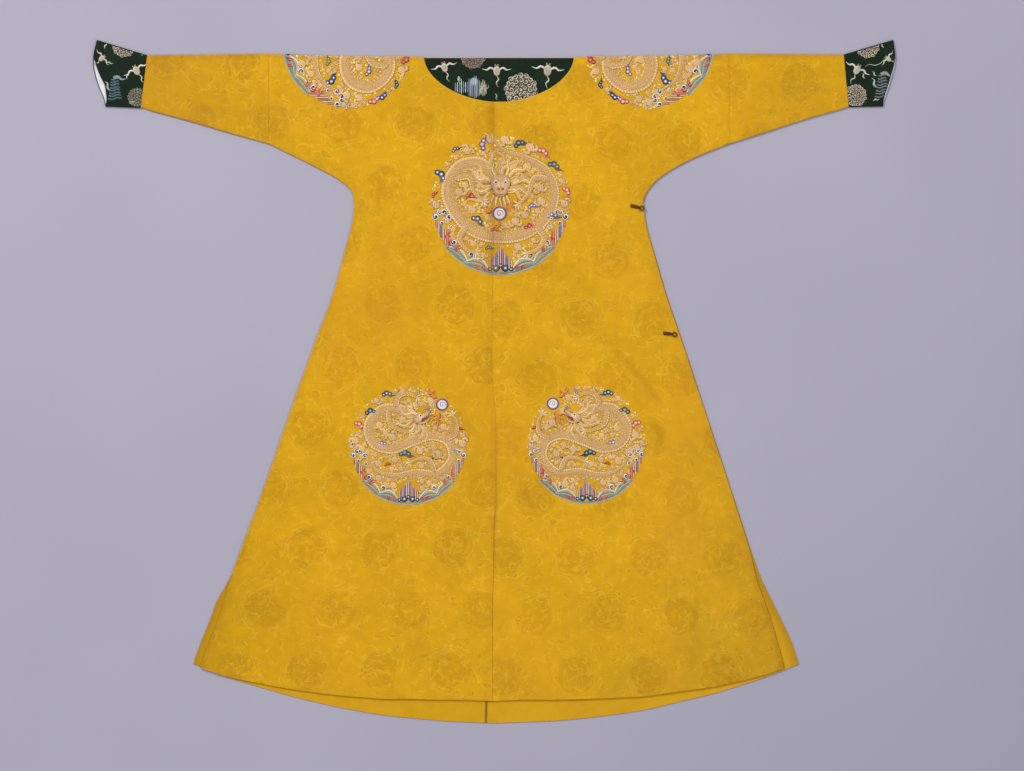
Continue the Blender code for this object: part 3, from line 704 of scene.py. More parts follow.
# ------------------------ sleeve ends, cuffs, linings and facing
def make_tube(name, sections, side, materials, slot, shade_of=None):
    """A flattened tube: for each section, its upper layer (x, drop, height) and its lower one (x, drop)."""
    rings, shades = [], []
    for upper, lower in sections:
        x, drop, height = upper
        start, end = drop[0] + height[0] / 2, drop[-1] - height[-1] / 2
        top = half_circle(x[0], start, (0.0, -1.0), 0.0, height[0])
        foot = half_circle(x[-1], end, (0.0, 1.0), 0.0, height[-1])
        top = [place(x[0], start, 0.0), *top, place(x[0], start, height[0])]
        foot = [place(x[-1], end, height[-1]), *foot[::-1], place(x[-1], end, 0.0)]
        ring = [place(x[1:-1], drop[1:-1], height[1:-1]), np.array(foot)]
        ring += [place(lower[0][-2:0:-1], lower[1][-2:0:-1], 0.0), np.array(top)]
        ring = np.concatenate([part.reshape(-1, 3) for part in ring])
        rings.append(ring)
        # Painted shade for each ring, where shade_of gives it; none otherwise.
        shades.append(shade_of(ring) if shade_of else np.zeros(len(ring)))
    return sew(name, rings, row_faces(rings, side == LEFT, True), materials, slot, shades)


# Painted shade of the sleeves, the same as on the body.
def sleeve_shade(points):
    return seam_shade(points[:, 0] - WORLD_X, WORLD_Y - points[:, 1], "front")


def make_sleeve(side, name, materials):
    top, foot = CUFF_SEAM[side, "top"], CUFF_SEAM[side, "foot"]
    length = top.out - SLEEVE_SEAM
    shares = spread(0.0, 1.0, 40, False, False)
    shares = np.unique(np.concatenate([NEAR_EDGE / length, shares, 1 - NEAR_EDGE / length]))
    down = np.linspace(0, 1, 31)
    sections = []
    for share in shares.tolist():
        gap = mix(HALF_SEAM, -HALF_SEAM, share)
        top_x = mix(SLEEVE_SEAM, top.out, share) + gap
        foot_x = mix(SLEEVE_SEAM, foot.out, share) + gap
        top_drop = mix(0.0, top.drop, share)
        foot_drop = mix(float(underside_line(side, foot_x)), foot.drop, float(ease(share * 16 - 15)))
        x, drop = side * mix(top_x, foot_x, down), mix(top_drop, foot_drop, down)
        sections.append(((x, drop, front_top(x, drop)), (x, drop)))
    return make_tube(name, sections, side, materials, "yellow_silk", sleeve_shade)


def cuff_point(side, layer, along, down):
    """A point of a cuff: along from its seam to its mouth, down from its fold to its underside."""
    top, foot = CUFF_SEAM[side, "top"], CUFF_SEAM[side, "foot"]
    first, last = MOUTH_SECTIONS[0].drop, MOUTH_SECTIONS[-1].drop
    mouth_drop = mix(first, last, down)
    mouth_out = smooth_line(MOUTH_SECTIONS, "drop", f"{layer}_{side_name(side)}", mouth_drop)
    if (side, layer) == (LEFT, "upper"):
        mouth_out = mouth_out + 0.0034 * np.sin(PI * down) ** 2
    seam_out = mix(top.out, foot.out, down) + HALF_SEAM
    seam_drop = mix(top.drop, foot.drop, down)
    return side * mix(seam_out, mouth_out, along), mix(seam_drop, mouth_drop, along)


def cuff_top(side, along, down):
    """Height of the cuff's upper layer: it stands off the lining at the mouth, and its edge is turned in."""
    lift = MOUTH_LIFT * along**2 * np.sin(PI * down)
    bulge = np.sin(PI * np.clip(down, 0, 1))
    waves = 0.00035 * uneven(along * CUFF_LENGTH, down * 0.15, 0.05, 31 + side) * bulge
    turned = 0.0008 * np.clip(1 - (1 - along) * CUFF_LENGTH / 0.0024, 0, 1) ** 2
    drawn = 0.0005 * bell(along * CUFF_LENGTH, 0.0018) * bulge**0.3
    return LAYERS + lift + waves - turned - drawn


def make_cuff(side, name, materials):
    near = NEAR_EDGE / CUFF_LENGTH
    shares = np.unique(np.concatenate([near, np.linspace(0, 1, 21), 1 - near]))
    down = np.linspace(0, 1, 33)
    sections = []
    for along in shares.tolist():
        x, drop = cuff_point(side, "upper", along, down)
        sections.append(((x, drop, cuff_top(side, along, down)), cuff_point(side, "lower", along, down)))
    return make_tube(name, sections, side, materials, "green_brocade")


def make_cuff_lining(side, name, materials):
    """The white lining that shows past the upper layer at the cuff's mouth."""
    along = np.linspace(LINING_SHARE, 0.976 if side == LEFT else 0.996, 13)
    rows = []
    for share in np.linspace(0.06, 0.96, 41).tolist():
        x, drop = cuff_point(side, "lower", along, share)
        height = WALL + SEAM_GAP + THIN_WALL + 0.0002 * (1 + uneven(x, drop, 0.03, 41))
        rows.append(place(x, drop, height))
    return sew(name, rows, row_faces(rows, side == RIGHT), materials, "white_lining", wall=THIN_WALL)


def facing_height(x, drop):
    return WALL + SEAM_GAP + THIN_WALL + 0.00018 * (1 + uneven(x, drop, 0.045, 51))


def make_neck_facing(name, materials):
    """Brocade on the inside of the back, seen through the neck."""
    top = SHOULDER_SAG + HALF_LAYERS + SEAM_GAP
    rows = []
    angle = np.radians(np.linspace(12.0, 168.0, 91))
    out, low = neck_point(np.minimum(angle, PI - angle), FACING_MARGIN)
    x = np.copysign(out, angle - PI / 2)
    for i in range(25):
        drop = mix(top, low, i / 24)
        rows.append(place(x, drop, facing_height(x, drop)))
    return sew(name, rows, row_faces(rows, True), materials, "green_brocade", wall=THIN_WALL)


# ------------------------ thread colours
def dye(red, green, blue):
    """A thread's colour, from its shade as the eye sees it (0 to 255) to linear light."""
    shade = np.array([red, green, blue]) / 255.0
    return np.where(shade <= 0.04045, shade / 12.92, ((shade + 0.055) / 1.055) ** 2.4)


THREADS = {
    "peach": dye(222, 180, 132),
    "tan": dye(207, 162, 108),
    "cream": dye(246, 220, 162),
    "gold": dye(232, 184, 84),
    "pale gold": dye(248, 216, 130),
    "deep gold": dye(196, 138, 40),
    "brown": dye(150, 96, 44),
    "orange": dye(214, 128, 44),
    "rust": dye(176, 92, 28),
    "navy": dye(30, 38, 72),
    "blue": dye(82, 108, 146),
    "sky": dye(150, 172, 200),
    "slate": dye(116, 136, 146),
    "mist": dye(168, 184, 190),
    "sea": dye(122, 146, 124),
    "leaf": dye(110, 140, 84),
    "teal": dye(58, 100, 104),
    "white": dye(238, 234, 228),
    "ivory": dye(216, 204, 176),
    "pink": dye(232, 150, 140),
    "red": dye(196, 56, 58),
    "crimson": dye(156, 36, 48),
    "magenta": dye(186, 96, 128),
    "lilac": dye(170, 150, 184),
    "plum": dye(86, 64, 104),
    "black": dye(30, 28, 34),
    "reed": dye(176, 188, 160),
    "rose beige": dye(158, 136, 122),
    "pale beige": dye(190, 176, 156),
    "steel": dye(128, 146, 178),
    "moss": dye(92, 120, 84),
    "bright gold": dye(246, 208, 92),
    "umber": dye(70, 60, 46),
}
METAL_SHARE = 0.45
METAL_THREADS = {"gold", "pale gold", "deep gold", "bright gold"}
PALETTE = np.array(list(THREADS.values()))
SHINE = np.array([METAL_SHARE if name in METAL_THREADS else 0.0 for name in THREADS])
NUMBER = {name: i for i, name in enumerate(THREADS)}
LEVEL = 0.00022  # how much higher each layer of stitches lies than the one below
SUNK = 0.00012  # how far the foot of every stitch goes into the silk
TILE_HEIGHT = 0.001  # a tile's height is drawn at this scale
TILE_THREADS = 0.004  # length of thread along a tile of unit size


# ------------------------ curves for drawing
def length_along(path):
    """Length of the way so far, at each of its points."""
    return np.concatenate([[0.0], np.cumsum(np.hypot(*np.diff(path, axis=0).T))])


def path_frame(path):
    """Direction along a path, direction to its left, and the length so far."""
    ahead = np.gradient(path, axis=0)
    ahead /= np.maximum(np.hypot(*ahead.T), 1e-9)[:, None]
    return ahead, np.stack([-ahead[:, 1], ahead[:, 0]], axis=1), length_along(path)


def smooth_path(controls, count):
    """A smooth line through control points, with even steps."""
    controls = np.asarray(controls, float)
    padded = np.vstack([2 * controls[0] - controls[1], controls, 2 * controls[-1] - controls[-2]])
    pieces = []
    for a, b, c, d in zip(padded, padded[1:], padded[2:], padded[3:]):
        t = np.linspace(0, 1, 24, endpoint=False)[:, None]
        bend, twist = 2 * a - 5 * b + 4 * c - d, 3 * b - a - 3 * c + d
        pieces.append(0.5 * (2 * b + (c - a) * t + bend * t**2 + twist * t**3))
    path = np.vstack([*pieces, controls[-1:]])
    length = length_along(path)
    at = np.linspace(0, length[-1], count)
    return np.column_stack([np.interp(at, length, path[:, 0]), np.interp(at, length, path[:, 1])])


def spiral(middle, radius, turns, start, count, inner=0.12, hand=1):
    share = np.linspace(0, 1, count)
    angle = start + hand * 2 * PI * turns * share
    reach = radius * mix(1.0, inner, share)
    return np.column_stack([middle[0] + reach * np.cos(angle), middle[1] + reach * np.sin(angle)])


def round_outline(middle, radius, count, squash=1.0, turn=0.0):
    angle = np.linspace(0, 2 * PI, count, endpoint=False)
    x, y = radius * np.cos(angle), radius * squash * np.sin(angle)
    cos, sin = math.cos(turn), math.sin(turn)
    return np.column_stack([middle[0] + x * cos - y * sin, middle[1] + x * sin + y * cos])


def turned(points, middle, angle, size):
    """Unit-sized points put at a place, turned and scaled."""
    x, y = np.asarray(points, float).T
    cos, sin = math.cos(angle) * size, math.sin(angle) * size
    return np.column_stack([middle[0] + x * cos - y * sin, middle[1] + x * sin + y * cos])


def taper(count, start, widest, end, peak=0.4):
    """Half-widths along a tapering form."""
    share = np.linspace(0, 1, count)
    grow = mix(start, widest, ease(share / peak))
    fall = mix(widest, end, ease((share - peak) / (1 - peak)))
    return np.where(share < peak, grow, fall)


# ------------------------ needlework: small raised forms
class Needlework:
    """Stitched forms on flat cloth: points (across, up, height) with a thread for every face."""

    def __init__(self, seed):
        self.points, self.corners, self.sizes = [], [], []
        self.colours, self.metal, self.threads = [], [], []
        self.count = 0
        self.dice = np.random.default_rng(seed)
        self.tile_lists = {}
        self.cords = []

    def add(self, points, threads, *groups):
        """A form's points, their (along, across) in the thread, and groups of (faces, thread numbers)."""
        lot = 1.0 + 0.12 * (self.dice.random() - 0.5)
        for faces, numbers in groups:
            width = faces.shape[1]
            numbers = np.repeat(np.broadcast_to(numbers, len(faces)), width)
            self.corners.append((faces + self.count).ravel())
            self.sizes.append(np.full(len(faces), width))
            self.colours.append(PALETTE[numbers] * lot)
            self.metal.append(SHINE[numbers])
            self.threads.append(threads[faces.ravel()])
        self.points.append(points)
        self.count += len(points)

    def absorb(self, mesh):
        """Takes in a mesh whose corners have a thread colour, a metal share and thread coordinates."""
        points = read_all(mesh.vertices, "co", 3)
        corners = read_all(mesh.loops, "vertex_index", 1, np.int32)[:, 0]

        def read(name, width):
            layer = mesh.attributes[name]
            values = read_all(layer.data, VALUE_KINDS[width][1], width)
            return values if layer.domain == "CORNER" else values[corners]

        self.points.append(points)
        self.corners.append(corners + self.count)
        self.sizes.append(read_all(mesh.polygons, "loop_total", 1, np.int32)[:, 0])
        self.colours.append(read("thread_colour", 4)[:, :3] * read("lot", 1))
        self.metal.append(read("metal", 1)[:, 0])
        self.threads.append(read("threads", 2))
        self.count += len(points)

    def band(self, path, half, across, base=0.0, crown=0.0004):
        """Satin stitch along a path. across holds its threads, or (width, thread), from the left."""
        path, half = np.asarray(path, float), np.broadcast_to(half, len(path)).astype(float)
        across = [(1.0, part) if isinstance(part, str) else part for part in across]
        across = across * 2 if len(across) == 1 else across
        _, left, along = path_frame(path)
        stations = np.concatenate([[0.0], np.cumsum([share for share, _ in across])])
        t = 1 - 2 * stations / stations[-1]
        aside = half[:, None] * t[None, :]
        full = np.clip(half / 0.0015, 0.3, 1.0)[:, None]
        points = np.empty((len(path), len(t), 3))
        points[..., :2] = path[:, None] + left[:, None] * aside[..., None]
        points[..., 2] = (base + crown * (1 - 0.75 * t**2)) * full
        points[:, [0, -1], 2] = -SUNK
        threads = np.stack(np.broadcast_arrays(along[:, None], aside), axis=-1)
        index = np.arange(len(path) * len(t)).reshape(len(path), len(t))
        numbers = [NUMBER[name] for _, name in across]
        tube = grid_faces(np.concatenate([index, index[:, :1]], axis=1), False)
        numbers = np.tile(numbers + numbers[:1], len(path) - 1)
        caps = np.stack([index[0, ::-1], index[-1]])
        self.add(points.reshape(-1, 3), threads.reshape(-1, 2), (tube, numbers), (caps, numbers[0]))

    def stroke(self, controls, count, widths, size, across, base=0.0, crown=0.0003):
        """A band along a smooth way. widths are those of taper: at its start, at its widest, at its end."""
        self.band(smooth_path(controls, count), taper(count, *widths) * size, across, base, crown)

    def patch(self, outline, bands, base=0.0, crown=0.0004, grain=0.0, middle=None):
        """A padded shape. bands is [(how far in the band ends, thread)], from the edge to 1.0, the middle."""
        outline = np.asarray(outline, float)
        bands = [(0.3, bands[0][1]), *bands] if len(bands) == 1 else bands
        x, y = outline.T
        if np.sum(x * np.roll(y, -1) - np.roll(x, -1) * y) < 0:
            outline = outline[::-1]
        middle = outline.mean(axis=0) if middle is None else np.asarray(middle, float)
        count, rows = len(outline), len(bands)
        points = [np.column_stack([outline, np.full(count, -SUNK)])]
        for share, _ in bands[:-1]:
            rise = base + crown * (1 - 0.6 * (1 - share) ** 3)
            points.append(np.column_stack([mix(outline, middle, share), np.full(count, rise)]))
        points = np.concatenate([*points, [[*middle, base + crown]]])
        index = np.arange(count * rows).reshape(rows, count)
        closed = np.concatenate([index, index[:, :1]], axis=1)
        numbers = [NUMBER[name] for _, name in bands]
        fan = np.stack([closed[-1, :-1], closed[-1, 1:], np.full(count, count * rows)], axis=1)
        groups = [(fan, numbers[-1]), (index[:1, ::-1], numbers[0])]
        if rows > 1:
            groups.append((grid_faces(closed, False), np.repeat(numbers[:-1], count)))
        cos, sin = math.cos(grain), math.sin(grain)
        self.add(points, points[:, :2] @ np.array([[cos, -sin], [sin, cos]]), *groups)

    def cord(self, path, height, radius, thread):
        """A couched thread: it is laid along a path and swept round later, with all the others."""
        self.cords.append((np.asarray(path, float), height, radius, NUMBER[thread]))

    def tiles(self, kind, spots, height, turns, length, breadth):
        """Small stitched tiles of one kind, laid later, with all the others of that kind."""
        columns = [np.broadcast_to(value, len(spots)) for value in (height, length, breadth, TILE_HEIGHT)]
        group = (np.column_stack([spots, columns[0]]), turns, np.column_stack(columns[1:]))
        self.tile_lists.setdefault(kind, []).append(group)

    def to_mesh(self, name, height=1.0):
        """One mesh of all the forms, in the flat. height is the scale that their height is drawn at."""
        points = np.concatenate(self.points)
        points[:, 2] /= height
        mesh = mesh_from(name, points, np.concatenate(self.corners), np.concatenate(self.sizes))
        colours = np.concatenate(self.colours)
        set_values(mesh, "thread_colour", np.column_stack([colours, np.ones(len(colours))]), "CORNER")
        set_values(mesh, "metal", np.concatenate(self.metal), "CORNER")
        return mesh

    def lay_all_tiles(self):
        for kind, groups in self.tile_lists.items():
            points, turns, sizes = (np.concatenate(lists) for lists in zip(*groups))
            mesh = line_mesh("tile_points", points)
            set_values(mesh, "turn", turns)
            set_values(mesh, "lot", self.dice.uniform(0.9, 1.1, len(points)))
            set_values(mesh, "size", sizes)
            self.absorb(run_tree(TILE_TREE, mesh, {"Tile": TILE_OBJECTS[kind]}))

    def sweep_all_cords(self):
        if not self.cords:
            return
        ways = [
            np.column_stack([path, np.broadcast_to(height, len(path))]) for path, height, _, _ in self.cords
        ]
        along = np.concatenate([length_along(path) for path, _, _, _ in self.cords])
        numbers = np.repeat([number for _, _, _, number in self.cords], [len(way) for way in ways])
        mesh = cord_lines("cord_lines", ways, [radius for _, _, radius, _ in self.cords])
        set_values(mesh, "lot", self.dice.uniform(0.94, 1.06, len(along)))
        set_values(mesh, "metal", SHINE[numbers])
        set_values(mesh, "thread_colour", np.column_stack([PALETTE[numbers], np.ones(len(along))]))
        set_values(mesh, "threads", np.column_stack([along * 0.5, along]))
        self.absorb(run_tree(CORD_TREE, mesh, {"Sides": 5}))

    def finish(self, name):
        """One mesh of all the forms, tiles and couched threads."""
        self.lay_all_tiles()
        self.sweep_all_cords()
        mesh = self.to_mesh(name)
        layer = mesh.uv_layers.new(name="threads")
        layer.data.foreach_set("uv", np.concatenate(self.threads).astype(np.float32).ravel())
        return mesh


# ------------------------ node trees
class Nodes:
    """Short calls for the nodes of one tree."""

    def __init__(self, tree):
        self.tree = tree

    def put(self, socket, value):
        if isinstance(value, bpy.types.NodeSocket):
            self.tree.links.new(value, socket)
        elif value is not None:
            socket.default_value = value

    def node(self, kind, *values, **settings):
        node = self.tree.nodes.new(kind if kind.startswith("GeometryNode") else f"ShaderNode{kind}")
        for name, value in settings.items():
            setattr(node, name, value)
        for socket, value in zip(node.inputs, values):
            self.put(socket, value)
        return node

    def fill(self, kind, sockets, **settings):
        """A node whose inputs are given by their names."""
        node = self.node(kind, **settings)
        for name, value in sockets.items():
            self.put(node.inputs[name], value)
        return node

    def math(self, operation, *values):
        return self.node("Math", *values, operation=operation).outputs[0]

    def times(self, first, second):
        return self.math("MULTIPLY", first, second)

    def times_add(self, first, second, third):
        return self.math("MULTIPLY_ADD", first, second, third)

    def vector(self, operation, *values):
        node = self.node("VectorMath", *values, operation=operation)
        return node.outputs["Value" if operation in ("LENGTH", "DOT_PRODUCT") else "Vector"]

    def join(self, x, y, z=0.0):
        return self.node("CombineXYZ", x, y, z).outputs[0]

    def split(self, vector):
        return self.node("SeparateXYZ", vector).outputs

    def blend(self, factor, first, second):
        node = self.node("Mix", data_type="RGBA")
        for index, value in ((0, factor), (6, first), (7, second)):
            self.put(node.inputs[index], value)
        return node.outputs[2]

    def tone(self, colour, lot):
        """A colour made darker or lighter."""
        return self.vector("MULTIPLY", colour, self.join(lot, lot, lot))

    def ramp(self, value, low, high, to_low=0.0, to_high=1.0):
        node = self.node("MapRange", value, low, high, to_low, to_high, interpolation_type="SMOOTHSTEP")
        return node.outputs[0]

    def noise(self, vector, scale, detail=2.0):
        return self.fill("TexNoise", {"Vector": vector, "Scale": scale, "Detail": detail}).outputs["Fac"]

    def spot(self):
        return self.node("TexCoord").outputs["Object"]

    def attribute(self, name):
        return self.node("Attribute", attribute_name=name).outputs["Fac"]

    def point_value(self, name, kind="FLOAT"):
        node = self.fill("GeometryNodeInputNamedAttribute", {"Name": name}, data_type=kind)
        return node.outputs["Attribute"]

    def group(self, tree, **values):
        node = self.node("Group", node_tree=tree)
        for name, value in values.items():
            self.put(node.inputs[name], value)
        return node.outputs


def node_group(name, kind, inputs, outputs):
    """A group's nodes, its inputs and its outputs. A socket is (name, kind) or (name, kind, value)."""
    tree = bpy.data.node_groups.new(name, kind)
    for way, sockets in (("INPUT", inputs), ("OUTPUT", outputs)):
        for label, sort, *value in sockets:
            socket = tree.interface.new_socket(label, in_out=way, socket_type=f"NodeSocket{sort}")
            if value:
                socket.default_value = value[0]
    return Nodes(tree), tree.nodes.new("NodeGroupInput").outputs, tree.nodes.new("NodeGroupOutput").inputs


# ------------------------ geometry nodes for what repeats
def geometry_tree(name, sockets, build):
    """A tree that ends in real geometry with its material."""
    shape = ("Geometry", "Geometry")
    n, given, out = node_group(name, "GeometryNodeTree", [shape, *sockets, ("Material", "Material")], [shape])
    real = n.fill("GeometryNodeRealizeInstances", {"Geometry": build(n, given)}).outputs[0]
    real = n.fill("GeometryNodeSetMaterial", {"Geometry": real, "Material": given["Material"]}).outputs[0]
    n.put(out["Geometry"], real)
    return n.tree


def laid_tiles(n, given):
    """One tile on every point, turned and sized by the point's own values."""
    tile = n.fill("GeometryNodeObjectInfo", {"Object": given["Tile"]}).outputs["Geometry"]
    turn = n.join(0.0, 0.0, n.point_value("turn"))
    size = n.point_value("size", "FLOAT_VECTOR")
    laid = {"Points": given["Geometry"], "Instance": tile, "Rotation": turn, "Scale": size}
    return n.fill("GeometryNodeInstanceOnPoints", laid).outputs[0]


def swept_cords(n, given):
    """A round cord along every line of edges, as thick as the points say."""
    thick = n.point_value("thick")
    curve = n.fill("GeometryNodeMeshToCurve", {"Mesh": given["Geometry"]}).outputs[0]
    curve = n.fill("GeometryNodeSetCurveRadius", {"Curve": curve, "Radius": thick}).outputs[0]
    round_wire = {"Resolution": given["Sides"], "Radius": 1.0}
    profile = n.fill("GeometryNodeCurvePrimitiveCircle", round_wire).outputs[0]
    sweep = {"Curve": curve, "Profile Curve": profile, "Scale": thick, "Fill Caps": True}
    return n.fill("GeometryNodeCurveToMesh", sweep).outputs[0]


TILE_TREE = geometry_tree("laid_tiles", [("Tile", "Object")], laid_tiles)
CORD_TREE = geometry_tree("swept_cords", [("Sides", "Int", 5)], swept_cords)
TILE_OBJECTS = {}


def run_tree(tree, mesh, values):
    """The plain mesh that a tree makes of a mesh."""
    carrier = bpy.data.objects.new("carrier", mesh)
    bpy.context.scene.collection.objects.link(carrier)
    nodes = carrier.modifiers.new("nodes", "NODES")
    nodes.node_group = tree
    for item in tree.interface.items_tree:
        if item.in_out == "INPUT" and item.name in values:
            nodes[item.identifier] = values[item.name]
    graph = bpy.context.evaluated_depsgraph_get()
    made = bpy.data.meshes.new_from_object(carrier.evaluated_get(graph), depsgraph=graph)
    carrier.modifiers.remove(nodes)
    bpy.data.objects.remove(carrier)
    return made


def line_mesh(name, points, edges=()):
    mesh = bpy.data.meshes.new(name)
    mesh.vertices.add(len(points))
    mesh.vertices.foreach_set("co", np.asarray(points, np.float32).ravel())
    mesh.edges.add(len(edges))
    mesh.edges.foreach_set("vertices", np.asarray(edges, np.int32).ravel())
    return mesh


def cord_lines(name, ways, radii):
    """The lines that cords are swept along, each with its own thickness."""
    steps = [np.stack([np.arange(len(way) - 1), np.arange(1, len(way))], axis=1) for way in ways]
    starts = np.concatenate([[0], np.cumsum([len(way) for way in ways])])
    edges = np.concatenate([step + start for step, start in zip(steps, starts)])
    mesh = line_mesh(name, np.concatenate(ways), edges)
    set_values(mesh, "thick", np.concatenate([np.broadcast_to(r, len(way)) for way, r in zip(ways, radii)]))
    return mesh


def make_tile(kind, draw):
    """A tile of unit size for the tile tree, kept out of the picture. draw(work) stitches it."""
    work = Needlework(3)
    draw(work)
    mesh = work.to_mesh(f"tile_{kind}", TILE_HEIGHT)
    set_values(mesh, "threads", np.concatenate(work.threads) * TILE_THREADS, "CORNER")
    TILE_OBJECTS[kind] = bpy.data.objects.new(f"tile_{kind}", mesh)


def tongue(length, width, count=7, point=0.0):
    """Outline of a scale or fin: square at its root, rounded or pointed at its free end (+x)."""
    angle = np.linspace(-PI / 2, PI / 2, count)
    x = length * np.cos(angle) ** (1 + point)
    root = [(-0.45 * length, -width * 0.8)], [(-0.45 * length, width * 0.8)]
    return np.vstack([root[0], np.column_stack([x, width * np.sin(angle)]), root[1]])


def padded_tile(outline, share, edge, body, crown):
    return lambda work: work.patch(outline, [(share, edge), (1.0, body)], 0.0, crown)


def curl_tile(edge, body, width):
    widths = taper(11, 0.5 * width, width, 0.6 * width, 0.5)
    return lambda work: work.band(spiral((0, 0), 0.4, 1.1, 0.4, 11, 0.2), widths, (edge, body), 0.0, 0.0003)


def puff(work):
    """A cloud of two curls on a padded middle, of unit width."""
    work.patch(round_outline((0, 0.06), 0.27, 9), [(0.22, "gold"), (1.0, "peach")], 0.0001, 0.0005)
    for side in SIDES:
        path = spiral((side * 0.26, -0.04), 0.24, 0.9, 1.4 + 0.2 * side, 9, 0.25, side)
        work.band(path, taper(9, 0.08, 0.155, 0.09, 0.5), ("gold", "peach"), 0.0, 0.00034)


DOT = round_outline((0, 0), 0.5, 8)
make_tile("scale", padded_tile(tongue(0.62, 0.55), 0.26, "gold", "tan", 0.00022))
make_tile("dark_scale", padded_tile(tongue(0.62, 0.55), 0.28, "gold", "tan", 0.00022))
make_tile("plate", padded_tile(tongue(0.5, 0.6, 5), 0.25, "gold", "cream", 0.00022))
make_tile("fin", padded_tile(tongue(1.0, 0.4, 5, 1.2), 0.28, "bright gold", "tan", 0.00026))
make_tile("bead", padded_tile(DOT, 0.3, "bright gold", "pale gold", 0.0003))
make_tile("stitch", padded_tile(DOT, 0.3, "deep gold", "gold", 0.00026))
make_tile("puff", puff)
make_tile("curl", curl_tile("gold", "peach", 0.17))
make_tile("gold_curl", curl_tile("bright gold", "pale gold", 0.18))
make_tile("foam", curl_tile("navy", "white", 0.22))


# ------------------------ motifs
CloudDyes = namedtuple("CloudDyes", "edge body heart")
BLUE_CLOUD = CloudDyes("navy", "blue", "white")
TEAL_CLOUD = CloudDyes("navy", "teal", "mist")
RED_CLOUD = CloudDyes("red", "pink", "white")
CRIMSON_CLOUD = CloudDyes("crimson", "red", "pink")
LILAC_CLOUD = CloudDyes("plum", "lilac", "white")
GREEN_CLOUD = CloudDyes("navy", "sea", "reed")


def cloud(work, middle, size, angle, dyes, base=0.0):
    """A cloud of three padded lobes and a wisp."""
    wisp = turned([(0.1, -0.2), (0.9, -0.62), (1.5, -0.5), (2.2, -0.8)], middle, angle, size)
    work.stroke(wisp, 8, (0.24, 0.3, 0.04), size, (dyes.edge, dyes.body), base, 0.00025)
    for x, y, radius in ((-0.7, -0.1, 0.52), (0.7, -0.1, 0.52), (0.0, 0.16, 0.64)):
        outline = round_outline(turned([(x, y)], middle, angle, size)[0], radius * size, 11)
        bands = [(0.4, dyes.edge), (0.7, dyes.body), (1.0, dyes.heart)]
        work.patch(outline, bands, base + 0.0001, 0.00035, angle)


def scroll(work, middle, size, angle, dyes, base=0.0, hand=1, width=0.24):
    """A curl of satin stitch that rolls up on itself."""
    path = spiral(middle, size, 1.15, angle, 15, 0.22, hand)
    half = taper(15, 0.45 * width, width, 0.4 * width, 0.5) * size
    work.band(path, half, (dyes.edge, dyes.body), base, 0.00032)
    heart = round_outline(path[-1], 0.17 * size, 7)
    work.patch(heart, [(0.5, dyes.body), (1.0, dyes.heart)], base + 0.0001, 0.0003)


LICK = ((0, 0), (0.34, 0.11), (0.66, -0.08), (1.0, 0.06))


def flame(work, foot, size, angle, threads=("rust", "orange", "gold"), base=0.0):
    """Three licks of flame from one foot."""
    for i, (turn, length) in enumerate(((-0.55, 0.75), (0.0, 1.0), (0.55, 0.7))):
        controls = turned(LICK, foot, angle + turn, size * length)
        work.stroke(controls, 9, (0.1, 0.15, 0.012, 0.3), size, threads, base + 0.00009 * i)


def pearl(work, middle, radius, base):
    """The flaming pearl: white, with a rose whorl and a slate rim."""
    outline = round_outline(middle, radius, 32)
    bands = [(0.09, "pink"), (0.24, "plum"), (0.34, "slate"), (0.7, "white"), (1.0, "white")]
    work.patch(outline, bands, base, 0.0005)
    whorl = spiral(middle, 0.5 * radius, 1.3, -0.4, 24, 0.12)
    work.band(whorl, taper(24, 0.1, 0.16, 0.09) * radius, ("crimson", "magenta"), base + 0.0006, 0.0005)


def stripes(work, spans, half, dyes, base=0.0):
    """Upright bars with blunt heads, side by side: spans are (x, foot, top)."""
    for i, (x, foot, top) in enumerate(spans):
        path = smooth_path([(x, foot), (x, mix(foot, top, 0.5)), (x, top)], 9)
        dark, light = dyes[i % len(dyes)]
        widths = half * np.array([1, 1, 1, 1, 1, 1, 1, 0.85, 0.35])
        work.band(path, widths, [(1.0, dark), (1.1, light), (1.0, dark)], base + 0.00006 * (i % 2))


def foam(work, spots, size, base=0.0):
    """White curls with dark edges, where the sea breaks. spots are (x, y)."""
    spots, number = np.asarray(spots, float), np.arange(len(spots))
    sizes = size * (0.82 + 0.36 * np.abs(np.sin(number * 2.1)))
    work.tiles("foam", spots, base + 0.00008 * (number % 3), number * 1.3, sizes, sizes)


WATER = ("mist", "slate", "sea", "reed", "slate", "reed", "white")


def swell(work, radius, start, end, rise, base=0.0, threads=WATER):
    """A swell of still water against the rim: bands that follow one another inwards."""
    share = np.linspace(0, 1, 15)
    angle = np.radians(mix(start, end, share))
    hump = np.sin(PI * share) ** 0.8
    for i, name in enumerate(threads):
        reach = radius * (0.985 - rise * hump * (i + 0.5) / len(threads))
        half = radius * rise * (0.52 * hump + 0.03) / len(threads)
        path = np.column_stack([reach * np.cos(angle), reach * np.sin(angle)])
        work.band(path, half, (name, name), base, 0.00035)


